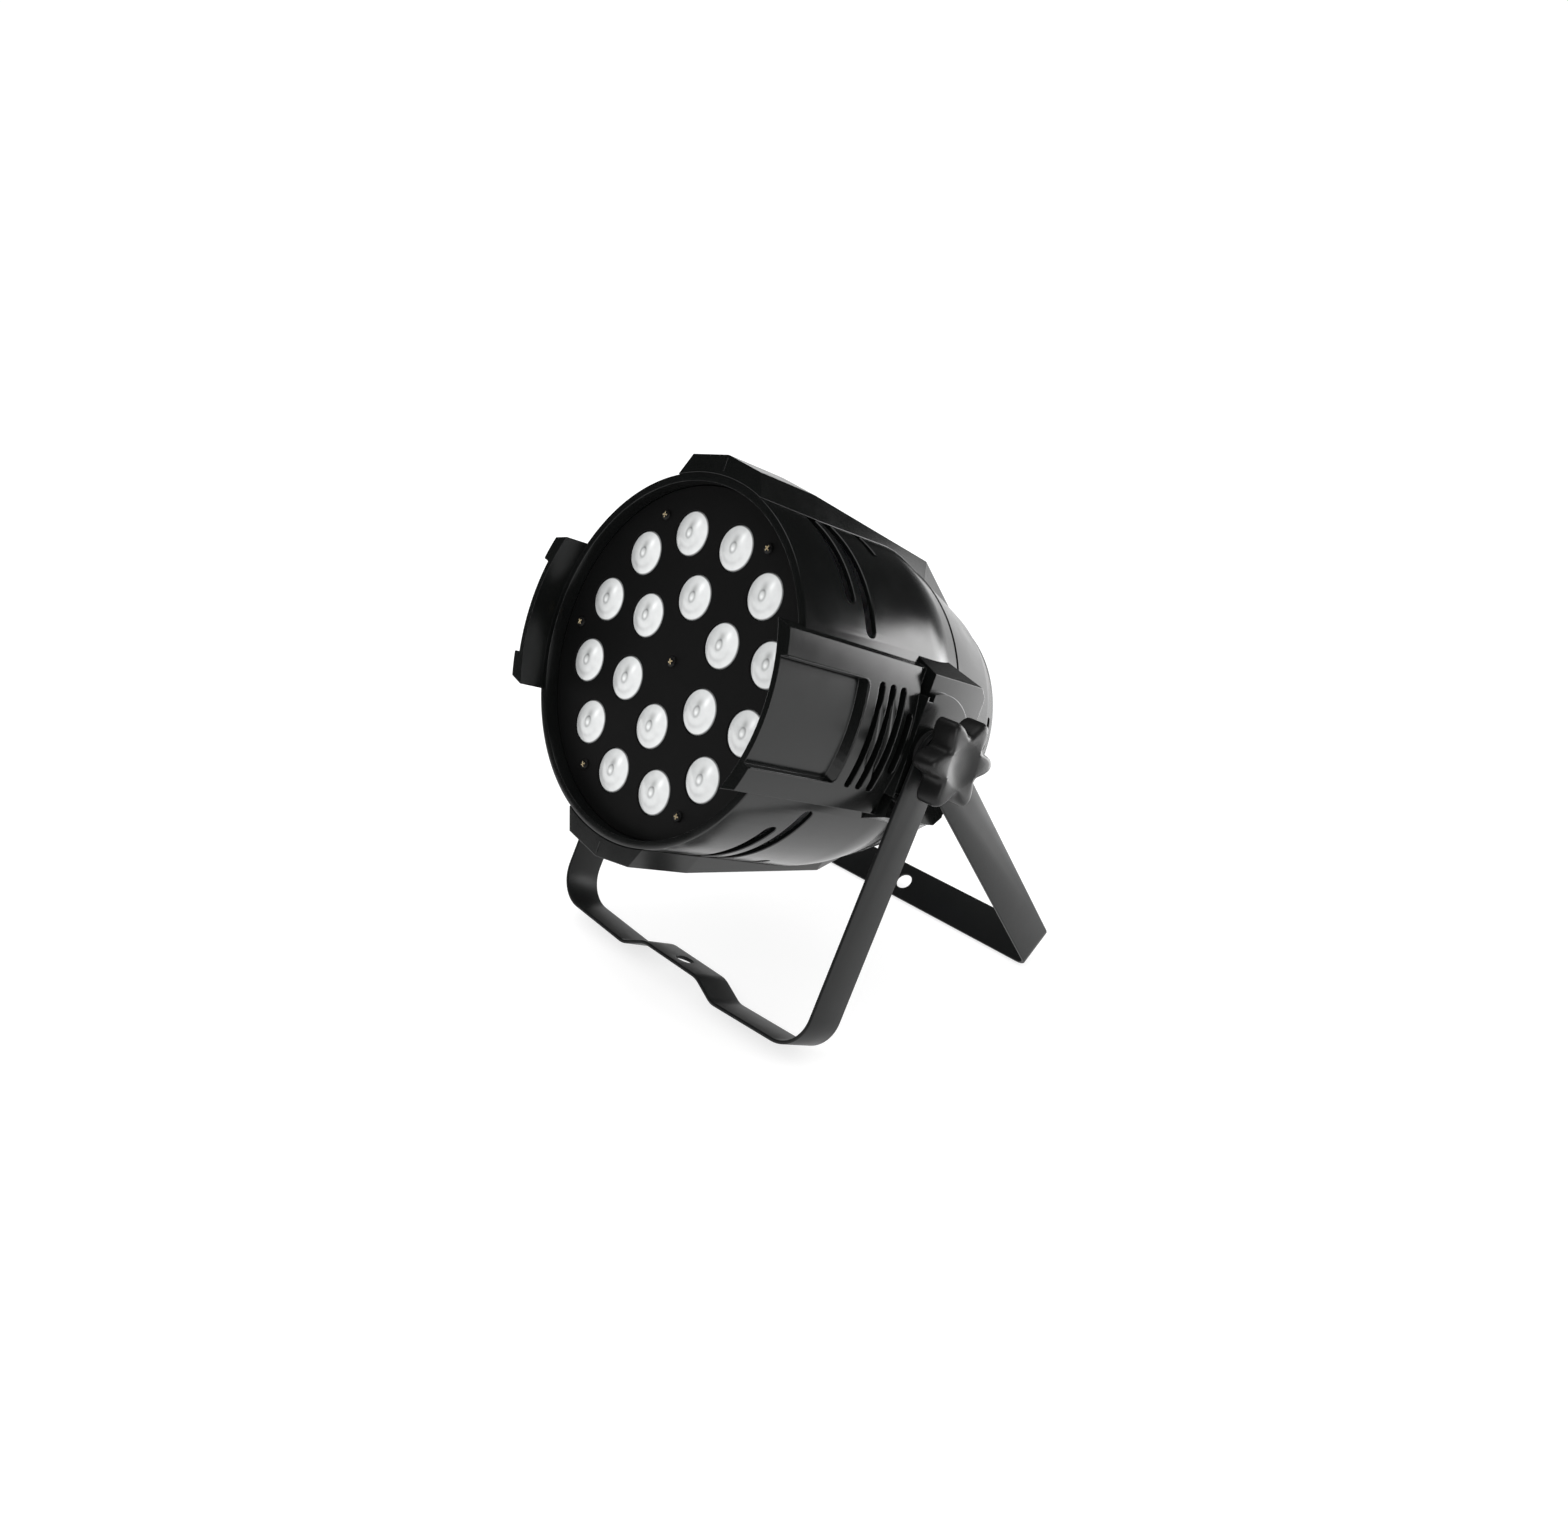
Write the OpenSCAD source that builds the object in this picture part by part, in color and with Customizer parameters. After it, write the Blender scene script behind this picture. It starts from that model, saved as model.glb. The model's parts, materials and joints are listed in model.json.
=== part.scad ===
// Par can light on a folding two-bracket floor stand.
// Millimetres. +Z is up, the face looks towards -Y, and the origin is on the floor
// under the middle of the light.

/* [Stance] */
// Tilt of the face above level, degrees
head_tilt = 20.8; // [0:0.1:45]
// Front bracket angle, forward of straight down, degrees
front_angle = 24.2; // [15:0.1:35]
// Rear bracket angle, backward of straight down, degrees
rear_angle = 37.3; // [25:0.1:45]

/* [Housing] */
// Outer radius of the straight part of the can
can_radius = 118; // [116:0.5:120]
// Wall thickness of the can
wall = 3; // [2:0.5:4]
// Distance from the pivot axis forward to the rim
rim_z = 120; // [115:1:125]
// Distance from the pivot axis back to the end of the can
tail_z = 120; // [118:1:124]
// Outer radius at the end of the can
tail_radius = 86.5; // [84:0.5:90]
// Angle of the tapered rear part, degrees
taper_angle = 15.7; // [12:0.1:18]
// Radius of the blend between the straight and tapered parts
blend_radius = 90; // [60:5:120]

/* [Ribs] */
// Height of the rib ridge above the can axis
ridge_height = 131; // [129:0.5:134]
// Half width of the rib roof
rib_half_width = 31.5; // [28:0.5:35]
// How far the roof edges lie below the ridge
rib_roof_drop = 5; // [3:0.5:7]

/* [Side covers] */
// Outer radius of the side covers
cover_radius = 124; // [123:0.5:126]
// Distance from the pivot axis forward to the front of the side covers
cover_front_z = 139.5; // [134:0.5:144]
// Half width of the flat pivot pad
pad_half_width = 47; // [44:0.5:48]
// Distance from the middle plane to the flat pivot pad
pad_x = 122.5; // [122:0.5:124]
// Radius of the round boss on the pad
boss_radius = 37; // [30:0.5:40]

/* [Face] */
// Distance from the pivot axis forward to the front of the LED plate
plate_z = 110; // [108:0.5:112]
// Radius of the outer ring of lenses
outer_ring_radius = 82; // [80:0.5:83]
// Radius of the inner ring of lenses
inner_ring_radius = 42.4; // [41:0.1:44]
// Radius of one lens opening
lens_opening = 14.9; // [14:0.1:15.2]
// Radius of the circle of plate screws
plate_screw_circle = 98.3; // [97:0.1:100]

/* [Brackets] */
// Width of the bracket straps
strap_width = 29.4; // [26:0.2:32]
// Thickness of the bracket straps
strap_thickness = 2.5; // [2:0.1:2.6]
// Pivot to the feet of the front bracket
front_length = 210.5; // [206:0.5:216]
// Outer bend radius of the front bracket
front_bend_radius = 26; // [20:1:30]
// Outer bend radius of the rear bracket
rear_bend_radius = 11; // [8:1:14]
// Height of the raised middle of the front bracket
hat_height = 9; // [6:0.5:11]
// Radius of the clamp hole in each bracket
clamp_hole_radius = 6.5; // [5:0.25:7]

/* [Knobs] */
// Number of lobes on each knob
knob_lobes = 6; // [5:1:8]
// Radius of the circle of lobe centres
knob_lobe_circle = 24; // [20:0.5:26]
// Radius of one lobe
knob_lobe_radius = 6.5; // [5:0.5:7]
// Radius of the threaded studs
stud_radius = 5; // [4:0.5:5]

/* [Hidden] */
$fn = 96;

eps = 0.01;                    // overlap that fuses touching shapes of one piece
gap = 0.1;                     // gap between parts of one body with curved faces
running = 0.05;                // radial clearance of a turning or sliding fit
through = 1;                   // how far a cutting shape passes a face
reach = 200;                   // larger than the can in every direction

// Stance
half_strap = strap_width / 2;
pivot_height = front_length * cos(front_angle) + half_strap * sin(front_angle);
rear_length = (pivot_height - half_strap * sin(rear_angle)) / cos(rear_angle);
front_reach = ridge_height * sin(head_tilt) + rim_z * cos(head_tilt);
rear_reach = rear_length * sin(rear_angle) + half_strap * cos(rear_angle);
pivot_y = (front_reach - rear_reach) / 2;

// Can, along the head's own z, measured forward from the pivot axis
blend_z = -2;                  // where the straight part starts to taper
seam_z = -40;                  // joint between the front and rear housings
cone_end_z = -102;             // where the taper steepens to the tail
blend_end_radius = can_radius - blend_radius * (1 - cos(taper_angle));
blend_end_z = blend_z - blend_radius * sin(taper_angle);
cone_end_radius = blend_end_radius - (blend_end_z - cone_end_z) * tan(taper_angle);
seam_radius = blend_end_radius - (blend_end_z - seam_z) * tan(taper_angle);
rim_chamfer = 0.8;
end_wall = 3;                  // thickness of the ring around the rear panel
plate_thickness = 2.5;
plate_back_z = plate_z - plate_thickness;
lip_thickness = 3.5;           // ring that the LED plate rests on
lip_radius = 106;
plate_radius = can_radius - 5.6;
rim_bore = plate_radius + 0.3;
seam_groove = 1.2;

// Ribs and side covers
rib_bend_z = 70;               // where the ridge starts to slope down to the rear
rib_back_z = -110;
cover_back_z = 12;             // where the curved cover meets the flat pad
cover_inner_front = 115;       // radius inside the covers in front of the rim
recess_angle = 15.3;           // half angle of the recessed panel
recess_radius = can_radius + 1;

// Parts stacked inside the can
board_front_z = 88;
board_thickness = 2;
sink_radius = 104;
sink_base = 8;
sink_front_z = board_front_z - board_thickness;
sink_back_z = sink_front_z - sink_base;
ledge_radius = 98;
ledge_thickness = 3;
chassis_front_z = 22;
chassis_thickness = 2;
chassis_back_z = chassis_front_z - chassis_thickness;
chassis_radius = 112;
chassis_ledge_radius = 104;
fan_size = 92;
fan_depth = 25;
fan_bore = 43.5;
fan_hub_radius = 19;
fin_height = sink_back_z - chassis_front_z - fan_depth - 3;

// Pivot stack, measured out from the middle plane
boss_x = pad_x + 5;
boss_front_z = 18;             // the boss is cut off here, behind the cover's vents
washer_x = boss_x + 2.2;
front_half_width = washer_x + 0.2 + strap_thickness;
rear_half_width = front_half_width + 0.3 + strap_thickness;
outer_washer_x = rear_half_width + 0.1;
outer_washer_thickness = 1.5;
knob_x = outer_washer_x + outer_washer_thickness;
insert_radius = 9.9;
insert_flange_radius = 15;
insert_inner_x = can_radius - 7.5;
insert_flange_x = can_radius - 4.1;
stud_hole = stud_radius + running;
stud_start_x = insert_inner_x + 1.5;
stud_depth = 11;               // how far the stud runs into its knob

// Front bracket: its crossbar sags a little from the bends to the feet
front_bend_angle = 87;
front_sag = 3;
front_bend_z = front_sag + front_bend_radius - front_length;
foot_x = 49;                   // from the middle to a foot of the front bracket
hat_x = 28.5;                  // half length of its raised middle

// Rear panel, seen from the back
opening_radius = 76;
panel_front_z = -114.5;        // face towards the inside of the can
panel_thickness = 2.5;
panel_back_z = panel_front_z - panel_thickness;
panel_radius = opening_radius - gap;
panel_screw_circle = 71;
tie_screw_circle = 81.5;
button_radius = 4;
button_y = 22;
button_pitch = 16;
display_y = 42;
display_size = [46, 18];
signal_y = -8;
power_y = -42;
socket_x = 26;
socket_flange = [26, 31];
signal_bore = 9.5;
power_bore = 11;
fuse_y = -54;
loop_y = 62;

lens_spots = concat(
    [for (i = [0 : 11]) [outer_ring_radius, 15 + 30 * i]],
    [for (i = [0 : 5]) [inner_ring_radius, 90 + 60 * i]]
);
screw_spots = concat([[0, 0]], [for (i = [0 : 5]) [plate_screw_circle, 60 * i]]);

// ---------- frames ----------

module at_pivot() {
    translate([0, pivot_y, pivot_height]) children();
}

// The head's own frame: x to the right, y up the face, z forward, origin on the pivot axis
module in_head() {
    at_pivot() rotate([90 - head_tilt, 0, 0]) children();
}

module on_left() {
    mirror([1, 0, 0]) children();
}

module both_sides() {
    children();
    on_left() children();
}

module polar(spot) {
    rotate([0, 0, spot[1]]) translate([spot[0], 0, 0]) children();
}

// Turns a shape built up from z = 0 so that it points along +x
module along_x(x) {
    translate([x, 0, 0]) rotate([0, 90, 0]) children();
}

// ---------- building blocks ----------

module slab(from_z, to_z, radius = reach) {
    translate([0, 0, from_z]) cylinder(h = to_z - from_z, r = radius);
}

module ring(from_z, to_z, outer, inner) {
    difference() {
        slab(from_z, to_z, outer);
        slab(from_z - through, to_z + through, inner);
    }
}

module box(size, centre) {
    translate(centre) cube(size, center = true);
}

function blend_point(step, steps, extra) =
    let (a = taper_angle * step / steps)
    [can_radius - blend_radius * (1 - cos(a)) + extra, blend_z - blend_radius * sin(a)];

function can_outline(extra) = concat(
    [[0, rim_z], [can_radius + extra, rim_z]],
    [for (i = [0 : 8]) blend_point(i, 8, extra)],
    [[cone_end_radius + extra, cone_end_z], [tail_radius + extra, -tail_z], [0, -tail_z]]
);

// Points of a ledge that stands inward from the straight wall, with its top at a height
function shelf(radius, top_z) = [
    [can_radius - wall, top_z - ledge_thickness], [radius, top_z - ledge_thickness],
    [radius, top_z], [can_radius - wall, top_z]
];

// The whole can as one solid, grown by extra
module can_solid(extra = 0) {
    rotate_extrude() polygon(can_outline(extra));
}

// A curved slot through the can wall, between two angles
module wall_slot(from_angle, to_angle, z, width) {
    depth = 3 * wall;
    inner = can_radius - depth;
    rotate([0, 0, from_angle])
        rotate_extrude(angle = to_angle - from_angle)
            translate([inner, z - width / 2])
                square([2 * depth, width]);
}

module screw(head_radius, head_height, shank_radius, shank_length) {
    slot = head_radius / 3;
    difference() {
        union() {
            cylinder(h = head_height * 0.6, r = head_radius);
            translate([0, 0, head_height * 0.6])
                cylinder(h = head_height * 0.4, r1 = head_radius, r2 = head_radius * 0.7);
        }
        for (turn = [0, 90])
            rotate([0, 0, turn])
                box([head_radius * 1.2, slot, head_height], [0, 0, head_height]);
    }
    translate([0, 0, -shank_length]) cylinder(h = shank_length + eps, r = shank_radius);
}

// ---------- housings ----------

module vent_quadrant() {
    vent_width = 5.5;
    wall_slot(37, 71, 71, vent_width);
    wall_slot(28, 71, 57, vent_width);
    wall_slot(65, 72, 30, 4);
}

module all_vents() {
    for (flip_x = [0, 1], flip_y = [0, 1])
        mirror([flip_x, 0, 0]) mirror([0, flip_y, 0]) vent_quadrant();
}

// Section of the front wall, from the rim along the outside and back along the inside,
// with the ledges that carry the chassis plate, the heatsink and the LED plate
front_wall = concat(
    [[can_radius - rim_chamfer, rim_z], [can_radius, rim_z - rim_chamfer]],
    [for (i = [0 : 8]) blend_point(i, 8, 0)],
    [[seam_radius, seam_z], [seam_radius - wall, seam_z]],
    [for (i = [8 : -1 : 0]) blend_point(i, 8, -wall)],
    shelf(chassis_ledge_radius, chassis_back_z),
    shelf(ledge_radius, sink_back_z),
    [[can_radius - wall, plate_back_z - lip_thickness], [lip_radius, plate_back_z - lip_thickness],
     [lip_radius, plate_back_z], [rim_bore, plate_back_z], [rim_bore, rim_z]]
);

module front_housing() color("#232526") in_head() difference() {
    rotate_extrude() polygon(front_wall);
    all_vents();
    both_sides() along_x(can_radius - 2 * wall) cylinder(h = 3 * wall, r = insert_radius + gap);
}

module tie_spots() {
    for (i = [0 : 3]) rotate([0, 0, 45 + 90 * i]) translate([tie_screw_circle, 0, 0]) children();
}

module panel_screw_spots() {
    for (i = [0 : 5]) rotate([0, 0, 30 + 60 * i]) translate([panel_screw_circle, 0, 0]) children();
}

module tail_vents() {
    vent = [30, 7, 6];
    for (side = [0, 180], a = [-15, -5, 5, 15])
        rotate([0, 0, side + a]) box(vent, [tail_radius, 0, -109]);
}

module rear_housing() color("#202223") in_head() {
    spigot_radius = seam_radius - wall - 0.3;
    difference() {
        intersection() {
            can_solid();
            slab(-tail_z, seam_z);
        }
        intersection() {
            can_solid(-wall);
            slab(end_wall - tail_z, seam_z + through);
        }
        slab(-tail_z - through, end_wall - tail_z + through, opening_radius);
        difference() {
            slab(seam_z - seam_groove, seam_z + through);
            slab(seam_z - 2 * seam_groove, seam_z + 2 * through, spigot_radius + wall - 0.7);
        }
        tail_vents();
        tie_spots() slab(-tail_z - through, end_wall - tail_z + through, 2.2);
    }
    ring(seam_z - 5, seam_z + 6, spigot_radius, spigot_radius - 2.5);
    difference() {
        tab = [24, 12, end_wall];
        intersection() {
            can_solid(-wall + eps);
            for (i = [0 : 5])
                rotate([0, 0, 30 + 60 * i]) box(tab, [78, 0, panel_front_z + end_wall / 2]);
        }
        panel_screw_spots() slab(panel_front_z - through, panel_front_z + 2 * end_wall, 1.25);
    }
}

// ---------- ribs ----------

module rib_section(inset) {
    edge = rib_half_width - inset;
    foot = edge + 7.5;
    ridge = ridge_height - inset;
    roof = ridge - rib_roof_drop;
    polygon([[0, ridge], [edge, roof], [foot, roof - 14], [foot, -reach],
             [-foot, -reach], [-foot, roof - 14], [-edge, roof]]);
}

// A long prism of the rib's section whose ridge passes through a height and place at a slope
module rib_prism(ridge_drop, z, slope, inset) {
    translate([0, ridge_height - ridge_drop, z])
        rotate([-slope, 0, 0])
            translate([0, -ridge_height, -reach])
                linear_extrude(height = 2 * reach) rib_section(inset);
}

// Level in front, sloping gently from the bend and then down into the tapered tail
module rib_mass(inset, front_z) {
    intersection() {
        rib_prism(0, rib_bend_z, 0, inset);
        rib_prism(0, rib_bend_z, 5.5, inset);
        rib_prism(12, -55, 30, inset);
        slab(rib_back_z, front_z);
        box([reach, reach, 2 * reach], [0, reach / 2 + can_radius / 2, 0]);
    }
}

module rib() {
    rib_wall = 2.5;
    difference() {
        rib_mass(0, rim_z);
        can_solid(gap);
        rib_mass(rib_wall, rim_z - rib_wall);
    }
}

module top_rib() color("#2a2b2c") in_head() rib();

module bottom_rib() color("#2a2b2c") in_head() mirror([0, 1, 0]) rib();

// ---------- side covers ----------

// Long wedge whose sides are the cover's two side walls
module cover_wedge(from_z, to_z) {
    translate([0, 0, from_z])
        linear_extrude(height = to_z - from_z)
            polygon([[90, -54], [130, -44.2], [130, 44.2], [90, 54]]);
}

module pad_block() {
    pad_back_z = -45;
    flare = 13;
    section = [[90, pad_half_width + flare], [pad_x, pad_half_width],
               [pad_x, -pad_half_width], [90, -pad_half_width - flare]];
    outline = [[pad_half_width + flare, cover_back_z], [pad_half_width + flare, -15],
               [pad_half_width, pad_back_z + 6], [pad_half_width - 6, pad_back_z],
               [6 - pad_half_width, pad_back_z], [-pad_half_width, pad_back_z + 6],
               [-pad_half_width - flare, -15], [-pad_half_width - flare, cover_back_z]];
    intersection() {
        translate([0, 0, pad_back_z])
            linear_extrude(height = cover_back_z - pad_back_z) polygon(section);
        rotate([90, 0, 90]) linear_extrude(height = reach) polygon(outline);
    }
}

module cover_recess() {
    slope_z = 71;
    rotate([0, 0, -recess_angle])
        rotate_extrude(angle = 2 * recess_angle)
            polygon([[recess_radius, slope_z], [recess_radius, reach],
                     [recess_radius + 12, reach], [recess_radius + 12, slope_z - 10]]);
}

module cover_slots() {
    slot_width = 4;
    for (i = [0 : 3]) {
        half = i < 3 ? 15.5 : 9;
        z = 54 - 10.4 * i;
        rotate([0, 0, -half])
            rotate_extrude(angle = 2 * half)
                translate([can_radius - through, z - slot_width / 2])
                    square([12, slot_width]);
    }
}

module cover() {
    difference() {
        union() {
            intersection() {
                slab(cover_back_z, cover_front_z, cover_radius);
                cover_wedge(cover_back_z, cover_front_z);
            }
            translate([0, 0, eps]) pad_block();
            intersection() {
                along_x(pad_x - 4) cylinder(h = boss_x - pad_x + 4, r = boss_radius);
                slab(-reach, boss_front_z);
            }
        }
        can_solid(gap);
        slab(rim_z - through, cover_front_z + through, cover_inner_front);
        cover_recess();
        cover_slots();
        for (side = [-1, 1]) box([16, 30, 5], [can_radius + 4, side * 45, cover_back_z + 2.5]);
        along_x(can_radius - 2 * wall) cylinder(h = reach, r = insert_radius + gap / 2);
    }
}

module right_cover() color("#303233") in_head() cover();

module left_cover() color("#303233") in_head() on_left() cover();

// ---------- face ----------

module led_plate() color("#1a1b1c") in_head() difference() {
    slab(plate_back_z, plate_z, plate_radius);
    for (spot = lens_spots) polar(spot) slab(plate_back_z - through, plate_z + through, lens_opening);
    for (spot = screw_spots) polar(spot) slab(plate_back_z - through, plate_z + through, 1.8);
}

module plate_screws() color("#a9a59c") in_head()
    for (spot = screw_spots) polar(spot) translate([0, 0, plate_z]) screw(3.4, 2.2, 1.5, 10);

function lens_dome(radius, edge_z, rise) =
    let (dome = (radius * radius + rise * rise) / (2 * rise), top = asin(radius / dome))
    [for (i = [0 : 8]) let (a = top * (1 - i / 8))
        [dome * sin(a), edge_z + rise - dome * (1 - cos(a))]];

module lens() {
    lens_radius = lens_opening - 0.2;
    neck = 6;
    well = 3.6;
    back_z = 91;
    rotate_extrude()
        polygon(concat(
            lens_dome(lens_radius, plate_z - 0.7, 3.2),
            [[0, back_z + 5.5], [well, back_z + 4], [well, back_z], [neck, back_z],
             [lens_radius, plate_back_z - 0.5]]
        ));
}

module lenses() color("#e6e8ea") in_head() for (spot = lens_spots) polar(spot) lens();

module lens_holder() {
    outer = lens_opening + 1.3;
    ring(board_front_z, board_front_z + 2, outer, 7);
    ring(board_front_z + 2 - eps, plate_back_z - gap, outer, outer - 1.2);
}

module lens_holders() color("#1c1c1c") in_head() for (spot = lens_spots) polar(spot) lens_holder();

module led_package() {
    translate([0, 0, board_front_z]) {
        box([6, 6, 0.8], [0, 0, 0.4]);
        translate([0, 0, 0.8 - eps]) cylinder(h = 0.6, r = 2.6);
    }
}

module led_packages() color("#d9d7c0") in_head() for (spot = lens_spots) polar(spot) led_package();

module led_board() color("#e9ece8") in_head() difference() {
    slab(sink_front_z, board_front_z, sink_radius - 1);
    for (spot = screw_spots) polar(spot) slab(sink_front_z - through, board_front_z + through, 4.1);
}

module standoffs() color("#b5b8ba") in_head()
    for (spot = screw_spots) polar(spot) ring(sink_front_z, plate_back_z, 4, 1.55);

// ---------- inside ----------

module heatsink() color("#9da1a4") in_head() {
    fin_thickness = 2;
    fin_pitch = 13;
    slab(sink_back_z, sink_front_z, sink_radius);
    intersection() {
        slab(sink_back_z - fin_height, sink_back_z + eps, ledge_radius - 3);
        for (i = [-7 : 7])
            box([fin_thickness, reach, fin_height + 2], [i * fin_pitch, 0, sink_back_z - fin_height / 2]);
    }
}

module chassis_plate() color("#8b8f92") in_head() difference() {
    slab(chassis_back_z, chassis_front_z, chassis_radius);
    slab(0, chassis_front_z + through, fan_bore);
    tie_spots() slab(0, chassis_front_z + through, 2.2);
}

module fan_frame() color("#222222") in_head() {
    hub_top = chassis_front_z + 3;
    difference() {
        box([fan_size, fan_size, fan_depth], [0, 0, chassis_front_z + fan_depth / 2]);
        slab(chassis_front_z - through, chassis_front_z + fan_depth + through, fan_bore);
        for (x = [-1, 1], y = [-1, 1])
            translate([x * 41.25, y * 41.25, 0]) slab(0, chassis_front_z + fan_depth + through, 2.2);
    }
    slab(chassis_front_z, hub_top, fan_hub_radius - 1);
    slab(hub_top - eps, hub_top + 17, 3);
    for (a = [45 : 90 : 315])
        rotate([0, 0, a]) box([31, 4, 2], [30.5, 0, chassis_front_z + 1]);
}

module fan_rotor() color("#2c2c2c") in_head() {
    floor_z = chassis_front_z + 3.4;
    depth = 19;
    blade = [22.5, 1.6, 20];
    difference() {
        slab(floor_z, floor_z + depth, fan_hub_radius);
        slab(floor_z - through, floor_z + depth - 2, fan_hub_radius - 2);
    }
    ring(floor_z + 4, floor_z + depth - 2 + eps, 6, 3 + running);
    intersection() {
        slab(floor_z, floor_z + depth, fan_bore - 1.5);
        for (i = [0 : 6])
            rotate([0, 0, i * 360 / 7])
                translate([fan_hub_radius + blade[0] / 2 - 0.5, 0, floor_z + depth / 2])
                    rotate([40, 0, 0]) cube(blade, center = true);
    }
}

module power_supply() color("#2f6b3f") in_head() {
    top = chassis_back_z;
    box([100, 34, 2], [0, -69, top - 5]);
    for (x = [-44, 44], y = [-80, -58])
        translate([x, y, 0]) slab(top - 4 - eps, top, 3);
    box([30, 26, 24], [-26, -69, top - 18 + eps]);
    box([22, 20, 16], [6, -69, top - 14 + eps]);
    for (x = [28, 41]) translate([x, -69, 0]) slab(top - 32, top - 6 + eps, 6);
}

module driver_board() color("#2c4f7c") in_head() {
    top = chassis_back_z;
    box([96, 30, 1.6], [0, 69, top - 5]);
    for (x = [-42, 42], y = [59, 79])
        translate([x, y, 0]) slab(top - 4.2 - eps, top, 2.5);
    for (x = [-30, -10, 10, 30]) {
        box([11, 11, 7], [x, 65, top - 9.3 + eps]);
        translate([x, 77, 0]) slab(top - 15, top - 5.8 + eps, 4);
    }
}

// ---------- rear panel ----------

module socket_spots(y) {
    for (x = [-socket_x, socket_x]) translate([x, y, 0]) children();
}

module button_spot(index) {
    translate([(index - 1.5) * button_pitch, button_y, 0]) children();
}

module connector_screw_spots() {
    for (y = [signal_y, power_y], d = [-1, 1])
        socket_spots(y) translate([d * 9.5, d * 12, 0]) children();
}

module rear_panel() color("#26282a") in_head() difference() {
    slab(panel_back_z, panel_front_z, panel_radius);
    box([display_size[0], display_size[1], 20], [0, display_y, panel_back_z]);
    for (i = [0 : 3]) button_spot(i) slab(panel_back_z - 5, panel_front_z + 5, button_radius + running);
    socket_spots(signal_y) slab(panel_back_z - 5, panel_front_z + 5, 12);
    socket_spots(power_y) slab(panel_back_z - 5, panel_front_z + 5, 12.5);
    translate([0, fuse_y, 0]) slab(panel_back_z - 5, panel_front_z + 5, 6.5);
    for (x = [-9, 9]) translate([x, loop_y, 0]) slab(panel_back_z - 5, panel_front_z + 5, 2.05);
    panel_screw_spots() slab(panel_back_z - 5, panel_front_z + 5, 1.7);
    connector_screw_spots() slab(panel_back_z - 5, panel_front_z + 5, 1.4);
}

// Turns a shape so that it points out of the rear panel from its outer face
module out_of_panel(z = panel_back_z) {
    translate([0, 0, z]) rotate([0, 180, 0]) children();
}

module panel_screws() color("#8d9092") in_head()
    panel_screw_spots() out_of_panel() screw(3, 1.8, 1.2, 5.2);

module tie_screws() color("#8d9092") in_head()
    tie_spots() out_of_panel(-tail_z) screw(3.6, 2.2, 2, tail_z + chassis_front_z + 2);

module display_window() color("#3a1210") in_head() {
    box([display_size[0] - gap, display_size[1] - gap, 2], [0, display_y, panel_back_z + 1]);
    box([display_size[0] + 4, display_size[1] + 4, 1.5], [0, display_y, panel_front_z + 0.75]);
    box([display_size[0] - 1, display_size[1] - 1, 1.5], [0, display_y, panel_front_z - 0.2]);
}

module display_board() color("#1f5c36") in_head() {
    board_z = panel_front_z + 7;
    difference() {
        box([84, 50, 1.6], [0, 33, board_z + 0.8]);
        for (x = [-9, 9]) translate([x, loop_y, 0]) slab(board_z - 5, board_z + 5, 6);
    }
    for (x = [-38, 38], y = [14, 52])
        translate([x, y, 0]) slab(panel_front_z, board_z + eps, 2.5);
    box([display_size[0] - 4, display_size[1] - 4, 5], [0, display_y, board_z - 2.5 + eps]);
    for (i = [0 : 3]) button_spot(i) box([6, 6, 3], [0, 0, board_z - 1.5 + eps]);
}

module button(index) color("#3d4043") in_head() button_spot(index) {
    slab(panel_back_z - 2.6, panel_front_z + 2.4, button_radius);
    slab(panel_front_z + gap, panel_front_z + 1.2, button_radius + 1.2);
}

module menu_button() button(0);
module down_button() button(1);
module up_button() button(2);
module enter_button() button(3);

module socket_body(bore, depth, body_radius) {
    difference() {
        union() {
            box([socket_flange[0], socket_flange[1], 2], [0, 0, panel_back_z - 1]);
            slab(panel_back_z - eps, panel_back_z + depth, body_radius);
        }
        slab(panel_back_z - 5, panel_back_z + depth - 3, bore);
        for (d = [-1, 1]) translate([d * 9.5, d * 12, 0]) slab(panel_back_z - 5, panel_back_z + 5, 1.4);
    }
}

module pin_circle(radius, count) {
    for (i = [0 : count - 1]) rotate([0, 0, i * 90]) translate([radius, 0, 0]) children();
}

module signal_input() color("#4a4d50") in_head()
    translate([-socket_x, signal_y, 0]) difference() {
        socket_body(signal_bore, 22, 11.9);
        pin_circle(4, 3) slab(panel_back_z, panel_back_z + 30, 1.2);
    }

module signal_pins() color("#c9b26a") in_head()
    translate([-socket_x, signal_y, 0])
        pin_circle(4, 3) slab(panel_back_z + 3, panel_back_z + 24, 1.2);

module signal_output() color("#4a4d50") in_head()
    translate([socket_x, signal_y, 0]) {
        socket_body(signal_bore, 22, 11.9);
        difference() {
            slab(panel_back_z - 1, panel_back_z + 19 + eps, 8);
            pin_circle(4, 3) slab(panel_back_z - 5, panel_back_z + 14, 1.4);
        }
    }

module power_socket(side) {
    translate([side * socket_x, power_y, 0]) {
        socket_body(power_bore, 24, 12.4);
        slab(panel_back_z + 1, panel_back_z + 21 + eps, 4.2);
        for (a = [90, 210, 330])
            rotate([0, 0, a]) box([2, 2.5, 16], [4.2, 0, panel_back_z + 13 + eps]);
    }
}

module power_inlet() color("#2b5fa8") in_head() power_socket(-1);

module power_outlet() color("#c3c6c8") in_head() power_socket(1);

module connector_screws() color("#8d9092") in_head()
    connector_screw_spots() out_of_panel(panel_back_z - 2) screw(2.4, 1.6, 1.3, 6);

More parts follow.
